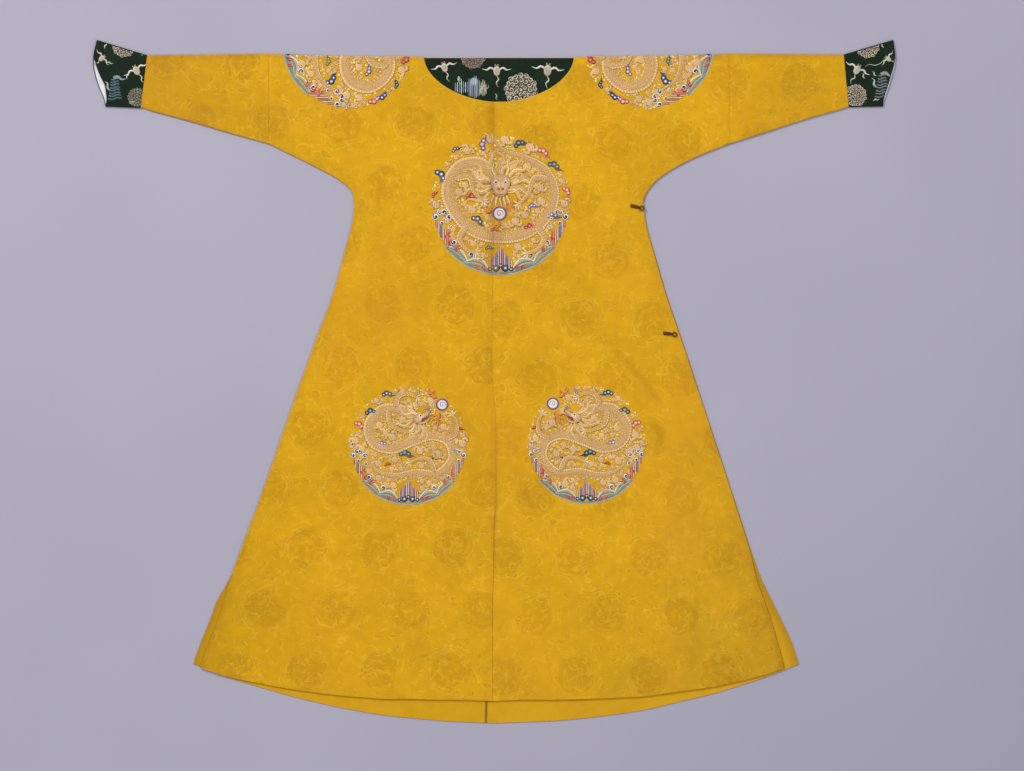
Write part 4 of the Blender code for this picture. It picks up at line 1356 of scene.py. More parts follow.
def scaled_band(work, path, half, base, crown, pitch, kind="scale", fins=True):
    """A dragon's body or limb: a padded band with scales, belly plates, fins and a couched outline."""
    across = [(0.8, "gold"), (2, "tan"), (2, "peach"), (2, "tan"), (1.6, "peach"), (0.5, "gold")]
    work.band(path, half, across, base, crown)
    ahead, left, along = path_frame(path)
    rows = int(along[-1] / pitch)
    at = (np.arange(rows) + 0.6) * pitch
    centre = np.column_stack([np.interp(at, along, path[:, i]) for i in (0, 1)])
    forward = np.column_stack([np.interp(at, along, ahead[:, i]) for i in (0, 1)])
    aside = np.column_stack([-forward[:, 1], forward[:, 0]])
    turn = np.arctan2(forward[:, 1], forward[:, 0])
    breadth = np.interp(at, along, half)
    number = np.where(breadth > 0.0105, 4, np.where(breadth > 0.006, 3, 2))

    def lay(name, rows_here, t, sink, length, wide):
        """Tiles in these rows, at a share t of the half-width."""
        spot = centre[rows_here] + aside[rows_here] * (t * breadth[rows_here])[:, None]
        height = base + crown * (1 - 0.75 * t**2) - sink
        work.tiles(name, spot, height, turn[rows_here], length, wide)

    for count in (2, 3, 4):
        rows_here = np.flatnonzero(number == count)
        for column in range(count):
            t = 0.8 - 1.25 * (column + 0.25 + 0.5 * (rows_here % 2)) / count
            lay(kind, rows_here, t, 0.00005, pitch * 1.25, 1.25 / count * breadth[rows_here])
    lay("plate", np.arange(rows), np.full(rows, -0.74), 0.0, pitch * 1.05, 0.42 * breadth)
    if fins:
        spot = (centre + aside * (breadth * 0.98)[:, None])[1::2]
        work.tiles("fin", spot, base, turn[1::2] + 0.9, pitch * 1.8, pitch * 1.5)
    for side in SIDES:
        edge = path + left * (side * half * 0.97)[:, None]
        work.cord(edge[::2], base + 0.0001, 0.00042, "deep gold" if side < 0 else "gold")


# Half-widths of a limb: shares of its length, and the half-width at each.
LIMB_WIDTHS = ([0, 0.1, 0.35, 0.75, 1.0], [0.2, 0.86, 0.76, 0.46, 0.4])
CLAW_DYES = ("bright gold", "cream", "white")


def limb(work, controls, base, size):
    """A dragon's limb, from the shoulder to a spread foot of five claws."""
    path = smooth_path(controls, 22)
    half = size * np.interp(np.linspace(0, 1, 22), *LIMB_WIDTHS)
    scaled_band(work, path, half, base, 0.0008, 0.0056, "dark_scale", fins=False)
    foot, ahead = path[-1], path[-1] - path[-3]
    angle = math.atan2(ahead[1], ahead[0])
    flame(work, path[11], size * 2.4, angle + 2.5, ("gold", "peach", "cream"), base - LEVEL)
    flame(work, path[5], size * 2.0, angle - 2.2, ("bright gold", "peach", "gold"), base - LEVEL)
    size, base = size * 1.3, base + LEVEL
    work.patch(round_outline(foot, 0.42 * size, 10), [(0.3, "gold"), (1.0, "peach")], base, 0.0006)
    for i in range(5):
        bend = 0.16 if i < 2 else -0.16
        turn = angle + math.radians(-78 + 39 * i)
        controls = turned([(0.3, 0), (0.75, bend), (1.1, bend * 0.6), (1.3, -bend)], foot, turn, size)
        work.stroke(controls, 9, (0.14, 0.18, 0.02, 0.3), size, CLAW_DYES, base, 0.0005)


# ------------------------ dragons' heads, of strokes and spots
# A stroke: its way, half-widths (start, widest, end), threads across it, height, and whether it is mirrored.
Stroke = namedtuple("Stroke", "way widths threads level mirrored")
# A spot: where, radius, threads from its edge inwards, height, and whether it is mirrored.
Spot = namedtuple("Spot", "x y radius threads level mirrored")
FACE_BACK = table(
    Stroke,
    (((0.2, 0.42), (0.4, 0.8), (0.34, 1.1), (0.52, 1.42)),
     (0.11, 0.11, 0.02), ("gold", "cream", "brown"), 0, True),
    (((0.38, 0.82), (0.62, 0.94), (0.74, 1.16)), (0.07, 0.07, 0.015), ("gold", "cream"), 0, True),
    (((0.5, 0.22), (0.8, 0.36), (1.02, 0.2)), (0.1, 0.15, 0.02), ("brown", "peach", "cream"), 0, True),
    (((0.14, -0.22), (0.55, -0.34), (0.95, -0.14), (1.35, -0.4)),
     (0.05, 0.06, 0.012), ("pale gold", "gold"), 1, True),
    (((0.3, -0.45), (0.42, -0.72), (0.46, -0.88), (0.58, -1.02)),
     (0.08, 0.09, 0.01), ("gold", "cream"), -1, True),
    (((0.15, -0.5), (0.21, -0.78), (0.26, -0.94), (0.29, -1.12)),
     (0.08, 0.09, 0.01), ("bright gold", "cream"), -1, True),
    (((0.0, -0.5), (0.0, -0.72), (0.06, -0.94), (0.0, -1.18)),
     (0.08, 0.09, 0.01), ("gold", "cream"), -1, False),
)
FACE_FRONT = table(
    Stroke,
    (((0.06, 0.26), (0.22, 0.42), (0.42, 0.4), (0.62, 0.56)),
     (0.05, 0.09, 0.015), ("orange", "pale gold"), 5, True),
    (((0.52, -0.14), (0.42, -0.02), (0.3, -0.12), (0.38, -0.24), (0.46, -0.18)),
     (0.03, 0.03, 0.02), ("gold", "cream"), 5, True),
    (((0.0, 0.3), (0.0, 0.1), (0.0, -0.1)), (0.05, 0.09, 0.11), ("gold", "peach", "gold"), 5, False),
    (((-0.34, -0.3), (-0.16, -0.4), (0.16, -0.4), (0.34, -0.3)),
     (0.03, 0.075, 0.03), ("crimson", "red"), 5, False),
)
FACE_SPOTS = table(
    Spot,
    (0.25, 0.2, 0.145, ("brown", "white"), 5, True),
    (0.24, 0.19, 0.07, ("black",), 7, True),
    (0.1, -0.14, 0.105, ("tan", "rust"), 5, True),
    (0.08, -0.365, 0.034, ("white",), 7, True),
    (0.2, -0.345, 0.032, ("white",), 7, True),
)
FACE_OUTLINE = (
    (0.0, 0.66), (0.16, 0.62), (0.38, 0.56), (0.56, 0.32), (0.52, 0.04), (0.4, -0.22), (0.36, -0.42),
    (0.18, -0.56), (0.0, -0.6), (-0.18, -0.56), (-0.36, -0.42), (-0.4, -0.22), (-0.52, 0.04),
    (-0.56, 0.32), (-0.38, 0.56), (-0.16, 0.62),
)
PROFILE_BACK = table(
    Stroke,
    (((-0.12, 0.34), (-0.45, 0.62), (-0.8, 0.66), (-1.2, 0.92)),
     (0.1, 0.1, 0.02), ("brown", "cream", "gold"), 0, False),
    (((0.04, 0.3), (-0.29, 0.58), (-0.64, 0.62), (-1.04, 0.88)),
     (0.1, 0.1, 0.02), ("brown", "cream", "gold"), 1, False),
    (((-0.3, -0.2), (0.05, -0.38), (0.38, -0.36), (0.66, -0.22)),
     (0.12, 0.13, 0.05), ("tan", "peach", "brown"), 1, False),
    (((0.02, -0.16), (0.34, -0.16), (0.6, -0.06), (0.74, -0.14)),
     (0.09, 0.08, 0.02), ("crimson", "red"), 2, False),
    (((0.7, 0.06), (0.98, -0.12), (1.2, 0.1), (1.5, -0.06)),
     (0.05, 0.06, 0.012), ("pale gold", "gold"), 1, False),
    (((-0.16, -0.36), (-0.26, -0.6), (-0.14, -0.76), (-0.3, -1.0)),
     (0.07, 0.09, 0.01), ("gold", "cream"), -1, False),
    (((0.08, -0.36), (-0.02, -0.62), (0.1, -0.8), (-0.06, -1.04)),
     (0.07, 0.09, 0.01), ("bright gold", "cream"), -1, False),
    (((0.32, -0.36), (0.22, -0.58), (0.34, -0.74), (0.18, -0.96)),
     (0.07, 0.09, 0.01), ("gold", "cream"), -1, False),
)
PROFILE_FRONT = table(
    Stroke,
    (((0.24, 0.24), (0.06, 0.36), (-0.14, 0.34), (-0.34, 0.52)),
     (0.05, 0.09, 0.015), ("orange", "pale gold"), 5, False),
    (((0.84, 0.12), (0.74, 0.26), (0.62, 0.18), (0.7, 0.1)),
     (0.03, 0.035, 0.02), ("gold", "rust"), 5, False),
    (((-0.1, -0.02), (-0.24, 0.08), (-0.36, -0.04), (-0.26, -0.16), (-0.16, -0.1)),
     (0.03, 0.035, 0.02), ("gold", "cream"), 4, False),
)
PROFILE_SPOTS = table(
    Spot,
    (0.06, 0.18, 0.14, ("brown", "white"), 5, False),
    (0.09, 0.17, 0.068, ("black",), 7, False),
    *[(0.26 + 0.12 * i, -0.06, 0.036, ("white",), 4, False) for i in range(5)],
)
PROFILE_OUTLINE = (
    (-0.5, -0.14), (-0.52, 0.14), (-0.32, 0.38), (-0.02, 0.44), (0.22, 0.3), (0.5, 0.22), (0.72, 0.32),
    (0.88, 0.2), (0.84, 0.04), (0.62, -0.02), (0.36, -0.04), (0.1, -0.1), (-0.12, -0.26), (-0.34, -0.28),
)


LOCK = ((0.35, 0), (0.75, 0.11), (1.08, -0.11), (1.42, 0.11))


def draw_head(work, middle, size, angle, base, facing):
    """A dragon's head, seen from the front or from the side, with its mane behind."""
    locks = np.linspace(-28, 208, 15) if facing else np.linspace(100, 262, 12)
    for i, turn in enumerate(np.radians(locks)):
        length = 1.1 + 0.24 * (i % 3)
        lock = turned(LOCK, middle, angle + turn, size * length)
        names = ("gold", "tan", "cream") if i % 2 else ("bright gold", "peach", "gold")
        level = base - 2 * LEVEL + 0.00007 * (i % 4)
        work.stroke(lock, 11, (0.1, 0.15, 0.012, 0.35), size, names, level, 0.0004)
    groups = (PROFILE_BACK, PROFILE_OUTLINE, PROFILE_FRONT, PROFILE_SPOTS)
    if facing:
        groups = (FACE_BACK, FACE_OUTLINE, FACE_FRONT, FACE_SPOTS)

    def draw(strokes):
        for stroke in strokes:
            for side in (1, -1)[: 1 + stroke.mirrored]:
                way = turned(np.array(stroke.way) * (side, 1), middle, angle, size)
                level = base + stroke.level * LEVEL
                work.stroke(way, 12, (*stroke.widths, 0.35), size, stroke.threads, level, 0.0005)

    draw(groups[0])
    heart = turned([(0.0 if facing else 0.1, 0.04)], middle, angle, size)[0]
    skin = [(0.12, "brown"), (0.34, "tan"), (0.7, "peach"), (1.0, "cream")]
    work.patch(turned(groups[1], middle, angle, size), skin, base, 0.0012, middle=heart)
    draw(groups[2])
    for spot in groups[3]:
        for side in (1, -1)[: 1 + spot.mirrored]:
            centre = turned([(side * spot.x, spot.y)], middle, angle, size)[0]
            bands = [(0.3 if i < len(spot.threads) - 1 else 1.0, name) for i, name in enumerate(spot.threads)]
            outline = round_outline(centre, spot.radius * size, 11)
            work.patch(outline, bands, base + spot.level * LEVEL)


# ------------------------ designs, on a circle of radius 1
# A dragon's body from its head to its tail, and each limb from the body to the foot.
FACING_BODY = (
    (-0.06, 0.34), (-0.28, 0.6), (-0.6, 0.54), (-0.76, 0.2), (-0.62, -0.14), (-0.36, -0.38), (0.0, -0.46),
    (0.36, -0.4), (0.66, -0.16), (0.77, 0.18), (0.64, 0.5), (0.34, 0.68), (0.08, 0.76), (-0.1, 0.9),
)
FACING_LIMBS = (
    ((-0.66, 0.38), (-0.44, 0.4), (-0.38, 0.2), (-0.24, 0.06)),
    ((0.7, 0.36), (0.48, 0.38), (0.4, 0.18), (0.27, 0.02)),
    ((-0.46, -0.28), (-0.58, -0.46), (-0.48, -0.62), (-0.36, -0.66)),
    ((0.5, -0.3), (0.62, -0.46), (0.52, -0.62), (0.38, -0.68)),
)
STRIDING_BODY = (
    (0.14, 0.44), (-0.12, 0.6), (-0.44, 0.6), (-0.66, 0.34), (-0.58, 0.04), (-0.28, -0.06), (0.06, 0.06),
    (0.38, 0.16), (0.66, 0.06), (0.72, -0.22), (0.48, -0.46), (0.12, -0.44), (-0.22, -0.5),
    (-0.52, -0.42), (-0.7, -0.2),
)
STRIDING_LIMBS = (
    ((-0.34, 0.6), (-0.3, 0.36), (-0.14, 0.26), (0.02, 0.22)),
    ((-0.22, 0.64), (-0.16, 0.82), (0.0, 0.86), (0.14, 0.8)),
    ((0.6, 0.1), (0.78, 0.2), (0.8, 0.38), (0.74, 0.5)),
    ((0.44, -0.44), (0.34, -0.24), (0.18, -0.22), (0.04, -0.28)),
)
BODY_WIDTHS = ([0, 0.06, 0.25, 0.6, 0.85, 1.0], [0.07, 0.083, 0.089, 0.08, 0.05, 0.014])
# Small clouds: (x, y, size, turn, dyes).
FACING_CLOUDS = (
    (-0.25, 0.86, 0.075, 1.5, LILAC_CLOUD), (0.26, 0.87, 0.072, 0.5, TEAL_CLOUD),
    (0.6, 0.76, 0.07, -0.5, RED_CLOUD), (0.75, 0.57, 0.075, -0.3, TEAL_CLOUD),
    (0.93, 0.21, 0.062, -0.8, RED_CLOUD), (-0.64, 0.79, 0.05, 0.6, BLUE_CLOUD),
    (-0.845, 0.43, 0.084, -0.8, BLUE_CLOUD), (-0.94, 0.15, 0.042, 1.0, CRIMSON_CLOUD),
    (-0.4, 0.12, 0.08, 0.3, CRIMSON_CLOUD), (-0.33, -0.2, 0.076, -0.5, BLUE_CLOUD),
    (-0.08, -0.34, 0.044, 0.0, CRIMSON_CLOUD), (0.44, -0.01, 0.052, 0.3, LILAC_CLOUD),
    (0.72, -0.14, 0.078, 0.1, BLUE_CLOUD), (0.41, -0.3, 0.072, 0.2, CRIMSON_CLOUD),
    (-0.17, -0.6, 0.042, 0.2, GREEN_CLOUD),
)
STRIDING_CLOUDS = (
    (-0.36, 0.86, 0.074, 0.1, BLUE_CLOUD), (0.17, 0.86, 0.04, 1.6, LILAC_CLOUD),
    (-0.15, 0.88, 0.036, 1.6, BLUE_CLOUD), (-0.63, 0.565, 0.084, 0.2, TEAL_CLOUD),
    (-0.82, 0.35, 0.074, -0.5, RED_CLOUD), (-0.44, 0.03, 0.07, 0.2, LILAC_CLOUD),
    (-0.06, -0.13, 0.088, 0.0, TEAL_CLOUD), (0.34, -0.22, 0.056, 0.5, BLUE_CLOUD),
    (-0.35, -0.31, 0.042, 0.4, CRIMSON_CLOUD), (0.745, -0.08, 0.046, -0.9, GREEN_CLOUD),
    (0.84, 0.28, 0.044, 0.2, CRIMSON_CLOUD), (0.3, 0.62, 0.036, 0.2, LILAC_CLOUD),
)
CLIMBING_CLOUDS = (
    (-0.24, 0.86, 0.074, 0.6, CRIMSON_CLOUD), (-0.86, 0.38, 0.074, 1.2, RED_CLOUD),
    (-0.8, 0.5, 0.07, 1.2, BLUE_CLOUD), (-0.56, -0.26, 0.084, 0.9, BLUE_CLOUD),
    (-0.27, -0.3, 0.056, 0.2, GREEN_CLOUD), (-0.42, 0.3, 0.066, 0.4, LILAC_CLOUD),
    (-0.62, 0.72, 0.052, 0.2, TEAL_CLOUD), (0.34, -0.22, 0.056, 0.5, BLUE_CLOUD),
    (-0.06, -0.13, 0.076, 0.0, TEAL_CLOUD), (0.84, 0.28, 0.05, 0.2, CRIMSON_CLOUD),
    (0.2, 0.86, 0.056, 0.3, BLUE_CLOUD), (0.745, -0.08, 0.046, -0.9, GREEN_CLOUD),
)
# Boulders at the foot of the rocks: (x, y, radius).
BOULDERS = (
    (-0.068, -0.885, 0.058), (0.068, -0.885, 0.058), (0.0, -0.85, 0.04), (-0.15, -0.9, 0.036),
    (0.15, -0.9, 0.036),
)
BOULDER_DYES = [(0.34, "navy"), (0.5, "teal"), (0.64, "navy"), (0.8, "mist"), (1.0, "white")]
CORAL = ("crimson", "red", "pink")
ROCK_DYES = (
    ("navy", "white"), ("crimson", "pink"), ("plum", "white"), ("navy", "lilac"), ("crimson", "white")
)
# Where the sea breaks inside the rim: (x, y).
FOAM_INSIDE = ((0.8, -0.1), (0.72, -0.17), (0.7, -0.3), (0.66, -0.52), (0.42, -0.7))


def sea_and_rocks(work, r):
    """Still water, foam, coral and striped rocks along the lower edge."""
    for start, end, rise in ((216, 243, 0.15), (236, 262, 0.19), (278, 304, 0.19), (297, 324, 0.15)):
        swell(work, r, start, end, rise)
    swell(work, r, 228, 312, 0.04, LEVEL, ("mist", "sea"))
    x = np.linspace(-0.15, 0.15, 11)
    tops = np.maximum(-0.56 - 1.6 * np.abs(x), -0.67 - 2.0 * np.abs(np.abs(x) - 0.11))
    stripes(work, np.column_stack([x, 0 * x - 0.9, tops]) * r, 0.0145 * r, ROCK_DYES, 2 * LEVEL)
    for x, y, size in BOULDERS:
        boulder = round_outline((x * r, y * r), size * r, 14)
        work.patch(boulder, BOULDER_DYES, 4 * LEVEL, 0.0006)
    for side in SIDES:
        x = side * np.linspace(0.935, 0.745, 7)
        foot = -np.sqrt(0.955**2 - x**2)
        top = np.maximum(foot + 0.1, -0.2 - 0.9 * (0.9 - np.abs(x)))
        stripes(work, np.column_stack([x, foot, top]) * r, 0.015 * r, ROCK_DYES, LEVEL)
        for turn, size in ((212, 0.15), (219, 0.15), (226, 0.13)):
            turn = math.radians(turn if side < 0 else 540 - turn)
            foot = (0.9 * r * math.cos(turn), 0.9 * r * math.sin(turn))
            flame(work, foot, size * r, PI / 2 + 0.4 * side, CORAL, LEVEL)
        for x, turn in ((0.2, 0.5), (0.3, 0.9)):
            turn = PI / 2 - side * (PI / 2 - turn)
            flame(work, (side * x * r, -0.9 * r), 0.11 * r, turn, CORAL, 2 * LEVEL)
        spray = ("moss", "sea", "reed")
        flame(work, (side * 0.66 * r, -0.6 * r), 0.12 * r, PI / 2 + 0.5 * side, spray, LEVEL)
        rim = np.radians([2, 9, 13, 19])
        out = side * np.array([0.925, 0.86, 0.94, 0.88])
        curls = np.column_stack([out * np.cos(rim), 0.05 - 0.93 * np.sin(rim)])
        inner = [(side * x, y) for x, y in FOAM_INSIDE]
        foam(work, np.vstack([curls, inner]) * r, 0.095 * r, 2 * LEVEL)


# What fills the gaps, from the largest to the smallest: (size, tile).
FILLERS = (
    (0.118, "puff"), (0.086, "puff"), (0.062, "puff"), (0.044, "curl"), (0.032, "gold_curl"), (0.022, "bead")
)


def fill_with_clouds(work, radius, taken, seed):
    """Peach clouds, gold curls and beads in every gap that the other motifs leave."""
    dice = np.random.default_rng(seed)
    taken = list(taken)
    for size, kind in FILLERS:
        spots = []
        for x, y in dice.uniform(-0.97, 0.97, (2200, 2)).tolist():
            others = np.array(taken)
            room = float((np.hypot(others[:, 0] - x, others[:, 1] - y) - others[:, 2]).min())
            room = min(room, 0.985 - math.hypot(x, y))
            if room > 0.62 * size:
                taken.append((x, y, 0.62 * size))
                spots.append((x * radius, y * radius))
        if spots:
            turns = dice.uniform(-0.7, 0.7, len(spots)) + (dice.random(len(spots)) < 0.5) * PI
            scale = 2.0 * size * radius * dice.uniform(0.9, 1.15, len(spots))
            level = LEVEL * dice.uniform(0, 1, len(spots))
            work.tiles(kind, spots, level, turns, scale, scale)


CLOUDS = {"facing": FACING_CLOUDS, "striding": STRIDING_CLOUDS, "climbing": CLIMBING_CLOUDS}
# Flames round the pearl: (x, y, turn, size).
FACING_FLAMES = (
    (-0.12, -0.06, 2.9, 0.24), (0.1, -0.06, 0.5, 0.24), (0.26, 0.03, 0.9, 0.18), (-0.03, -0.24, -1.8, 0.14)
)
STRIDING_FLAMES = (
    (0.46, 0.8, 2.4, 0.2), (0.5, 0.54, -2.2, 0.24), (0.4, 0.88, 2.9, 0.16), (0.45, 0.44, -1.2, 0.2)
)


def draw_roundel(design, radius, seed):
    """The whole design of one roundel, in the flat."""
    work = Needlework(seed)
    facing = design == "facing"
    body, limbs = (FACING_BODY, FACING_LIMBS) if facing else (STRIDING_BODY, STRIDING_LIMBS)
    sea_and_rocks(work, radius)
    path = smooth_path(np.array(body) * radius, 150)
    half = np.interp(np.linspace(0, 1, 150), *BODY_WIDTHS) * radius
    scaled_band(work, path, half, LEVEL, 0.001, 0.0052)
    tip = path[-1] - path[-4]
    flame(work, path[-1], 0.2 * radius, math.atan2(tip[1], tip[0]), ("gold", "peach", "cream"), LEVEL)
    for controls in limbs:
        limb(work, np.array(controls) * radius, 5 * LEVEL, 0.062 * radius)
    along = zip(path[::2].tolist(), half[::2].tolist())
    taken = [(x / radius, y / radius, wide / radius + 0.004) for (x, y), wide in along]
    if facing:
        draw_head(work, (0.0, 0.27 * radius), 0.285 * radius, 0.0, 7 * LEVEL, True)
        pearl_at, flames = (-0.014, -0.116), FACING_FLAMES
        taken += [(0.0, 0.26, 0.26), (-0.014, -0.116, 0.13), (0.0, -0.74, 0.17)]
    else:
        draw_head(work, (0.2 * radius, 0.45 * radius), 0.245 * radius, 0.45, 7 * LEVEL, False)
        pearl_at, flames = (0.56, 0.68), STRIDING_FLAMES
        taken += [(0.22, 0.46, 0.18), (0.56, 0.68, 0.13), (0.0, -0.74, 0.17)]
    pearl(work, (pearl_at[0] * radius, pearl_at[1] * radius), 0.112 * radius, 3 * LEVEL)
    for i, (x, y, turn, size) in enumerate(flames):
        flame(work, (x * radius, y * radius), size * radius, turn, base=(2 + 0.3 * i) * LEVEL)
        taken.append((x, y, 0.05))
    for x, y, size, turn, dyes in CLOUDS[design]:
        cloud(work, (x * radius, y * radius), size * radius, turn, dyes, 4 * LEVEL)
        taken.append((x, y, size * 1.2))
    for controls in limbs:
        taken += [(x, y, 0.05) for x, y in smooth_path(controls, 9).tolist()]
        taken.append((*controls[-1], 0.075))
    for side in SIDES:
        taken += [(side * 0.84, -0.4, 0.13), (side * 0.9, -0.2, 0.07), (side * 0.74, -0.56, 0.07)]
    water = np.radians(np.linspace(222, 318, 22))
    taken += [(0.92 * math.cos(a), 0.92 * math.sin(a), 0.09) for a in water.tolist()]
    fill_with_clouds(work, radius, taken, seed)
    return work.finish(f"{design}_flat")


# ------------------------ laying needlework on the robe
FLATTENED = 0.1  # how much of its height embroidery keeps where the robe lies on it


def lay_on_front(x, drop, rise):
    return place(x, drop, front_top(x, drop) + rise)


def lay_on_back(x, drop, rise):
    return place(x, drop, under_side(x, drop) - np.where(rise > 0, rise * FLATTENED, rise))


def lay_over_shoulder(x, drop, rise):
    """Front, fold and back in one: drop is measured along the cloth, past the fold."""
    line = shoulder_line(x)
    high, low = front_top(x, line + HALF_LAYERS), under_side(x, line + HALF_LAYERS)
    radius = (high - low) / 2
    angle = np.maximum(line + radius - drop, 0.0) / radius
    turn = np.minimum(angle, PI)
    behind = line + radius + (angle - PI) * radius
    rise = np.where(rise > 0, rise * mix(1.0, FLATTENED, ease(2 * turn / PI - 1)), rise)
    reach = radius + rise
    over = place(x, line + radius - reach * np.sin(turn), low + radius + reach * np.cos(turn))
    back = place(x, behind, under_side(x, behind) - rise)
    beyond = np.where((angle < PI)[:, None], over, back)
    return np.where((angle > 0)[:, None], beyond, lay_on_front(x, drop, rise))


def lay_on_facing(x, drop, rise):
    return place(x, drop, facing_height(x, drop) + rise)


def lay_on_cuffs(x, drop, rise):
    """Upper faces of the two cuffs, each found from its own seam and mouth."""
    height = np.zeros_like(x)
    for side in SIDES:
        top, foot = CUFF_SEAM[side, "top"], CUFF_SEAM[side, "foot"]
        first, last = MOUTH_SECTIONS[0].drop, MOUTH_SECTIONS[-1].drop
        along = np.full_like(x, 0.5)
        for _ in range(5):
            high, low = mix(top.drop, first, along), mix(foot.drop, last, along)
            down = np.clip((drop - high) / (low - high), 0, 1)
            mouth = smooth_line(MOUTH_SECTIONS, "drop", f"upper_{side_name(side)}", mix(first, last, down))
            seam = mix(top.out, foot.out, down)
            along = np.clip((np.abs(x) - seam) / (mouth - seam), 0, 1)
        height = np.where(x * side > 0, cuff_top(side, along, down), height)
    return place(x, drop, height + rise)


SURFACES = {
    "front": lay_on_front,
    "back": lay_on_back,
    "shoulder": lay_over_shoulder,
    "facing": lay_on_facing,
    "cuff": lay_on_cuffs,
}


def cut_along(mesh, lines, drop_outside=False):
    """Cuts faces along lines, (x, y, turn of the line), so that they can bend or end there."""
    work = bmesh.new()
    work.from_mesh(mesh)
    for x, y, turn in lines:
        everything = work.verts[:] + work.edges[:] + work.faces[:]
        across = (-math.sin(turn), math.cos(turn), 0.0)
        made = bmesh.ops.bisect_plane(
            work, geom=everything, dist=1e-7, plane_co=(x, y, 0.0), plane_no=across, clear_inner=drop_outside
        )
        if drop_outside:
            edges = [
                item for item in made["geom_cut"] if isinstance(item, bmesh.types.BMEdge) and item.is_boundary
            ]
            bmesh.ops.holes_fill(work, edges=edges, sides=0)
    work.to_mesh(mesh)
    work.free()


def lay_mesh(mesh, layer, x, drop, right, up):
    """Lays flat needlework on a surface. right and up are the design's directions there, as (x, drop)."""
    across, along, rise = read_all(mesh.vertices, "co", 3).astype(float).T
    x = x + across * right[0] + along * up[0]
    drop = drop + across * right[1] + along * up[1]
    mesh.vertices.foreach_set("co", SURFACES[layer](x, drop, rise).astype(np.float32).ravel())
    if (right[1] * up[0] < right[0] * up[1]) != (layer == "back"):
        mesh.flip_normals()
    # Painted shade on the needlework, as on the silk under it; none on the facing and cuffs.
    set_values(mesh, "seam_shade", seam_shade(x, drop, layer) if layer in ("front", "back") else 0 * x)
    mesh.update()
    return mesh


def make_roundel(r, material):
    """One embroidered roundel, drawn in the flat and laid on its part of the robe."""
    mesh = draw_roundel(r.design, r.radius, round(1000 * abs(r.x)) + (7 if r.layer == "back" else 0))
    if r.layer == "shoulder":
        right, up = (0.0, -1.0), (-math.copysign(1, r.x), 0.0)
        cut_along(mesh, [(0.0205 + 0.0012 * i, 0.0, PI / 2) for i in range(-43, -32)])
    else:
        turn = -1.0 if r.mirrored != (r.layer == "back") else 1.0
        right, up = (turn, 0.0), (0.0, -1.0)
        if abs(r.x) < 0.01 and r.layer == "front":
            seam = float(seam_line("front", r.drop)) - r.x
            lean = 5 * float(seam_line("front", r.drop + 0.1) - seam_line("front", r.drop - 0.1))
            offsets = (-0.003, -0.0013, 0.0, 0.0013, 0.003)
            cut_along(mesh, [(seam + offset, 0.0, PI / 2 + lean) for offset in offsets])
    lay_mesh(mesh, r.layer, r.x, r.drop, right, up)
    return add_piece(r.name, mesh, [material])


# ------------------------ brocade figures
def bat(work, middle, size, tilt=0.0):
    """A small bat with ribbons: an oval body, two streamers and a wisp below."""
    body = round_outline(middle, 0.42 * size, 10, 1.5, tilt)
    work.patch(body, [(0.4, "ivory"), (1.0, "pale beige")], LEVEL, 0.0004)
    for side in SIDES:
        wing = [(side * 0.25, 0.12), (side * 0.7, 0.34), (side * 1.1, 0.1), (side * 1.6, 0.22)]
        work.stroke(turned(wing, middle, tilt, size), 9, (0.14, 0.16, 0.04), size, ("ivory", "white"))
        ear = turned([(side * 0.12, 0.45), (side * 0.16, 0.72)], middle, tilt, size)
        work.band(smooth_path(ear, 4), 0.12 * size, ("rose beige",), 0.0, 0.0003)
    tail = turned([(0.0, -0.55), (0.22, -0.95), (-0.05, -1.3), (0.16, -1.8)], middle, tilt, size)
    work.stroke(tail, 10, (0.05, 0.12, 0.03), size, ("reed", "ivory"))


def medallion(work, middle, radius, dyes=("umber", "pale beige", "ivory"), feet=()):
    """A round flower of rings of curls, with little feet if there is room for them."""
    dark, mid, pale = dyes
    work.patch(round_outline(middle, 0.98 * radius, 28), [(0.1, mid), (1.0, dark)], 0.0, 0.00012)
    for count, reach, size in ((17, 0.86, 0.165), (12, 0.58, 0.165), (6, 0.29, 0.15)):
        for i in range(count):
            angle = 2 * PI * (i + 0.25 * count) / count
            spot = turned([(reach * radius, 0)], middle, angle, 1.0)[0]
            curl = CloudDyes(mid, pale, pale)
            scroll(work, spot, size * radius, angle + 1.0, curl, LEVEL, 1 if i % 2 else -1, 0.34)
    work.patch(round_outline(middle, 0.12 * radius, 8), [(0.5, mid), (1.0, pale)], 0.0, 0.0006)
    for x in feet:
        foot = turned([(x, -0.8), (x - 0.1, -1.12)], middle, 0.0, radius)
        work.band(smooth_path(foot, 4), 0.055 * radius, (pale,))


def plume(work, foot, size, turn, thread):
    controls = turned([(0, 0), (0.35, 0.16), (0.7, -0.04), (1.0, 0.16)], foot, turn, size)
    work.stroke(controls, 9, (0.1, 0.16, 0.03), size, (thread, "reed"))


# A jar's groups of bars: (first x, last x, number, foot, head, dyes).
JAR_STRIPES = (
    (-1.75, -0.58, 7, 0.55, 0.62, (("blue", "sky"), ("mist", "white"))),
    (-0.42, 0.58, 7, 0.95, 0.95, (("steel", "sky"), ("lilac", "white"), ("slate", "mist"))),
    (0.74, 1.2, 4, 0.78, 0.62, (("reed", "ivory"),)),
)
# Its caps: (x, y, radius, height for its breadth, edge, heart). Its plumes: (x, y, turn, thread).
JAR_CAPS = ((0.06, 0.46, 0.5, 1.1, "steel", "mist"), (-1.42, 0.72, 0.17, 2.2, "ivory", "reed"))
JAR_PLUMES = (
    (-1.25, 0.2, 1.7, "leaf"), (0.9, -0.4, 1.3, "reed"), (1.1, -0.55, 1.0, "leaf"), (0.75, -0.7, 1.6, "reed")
)


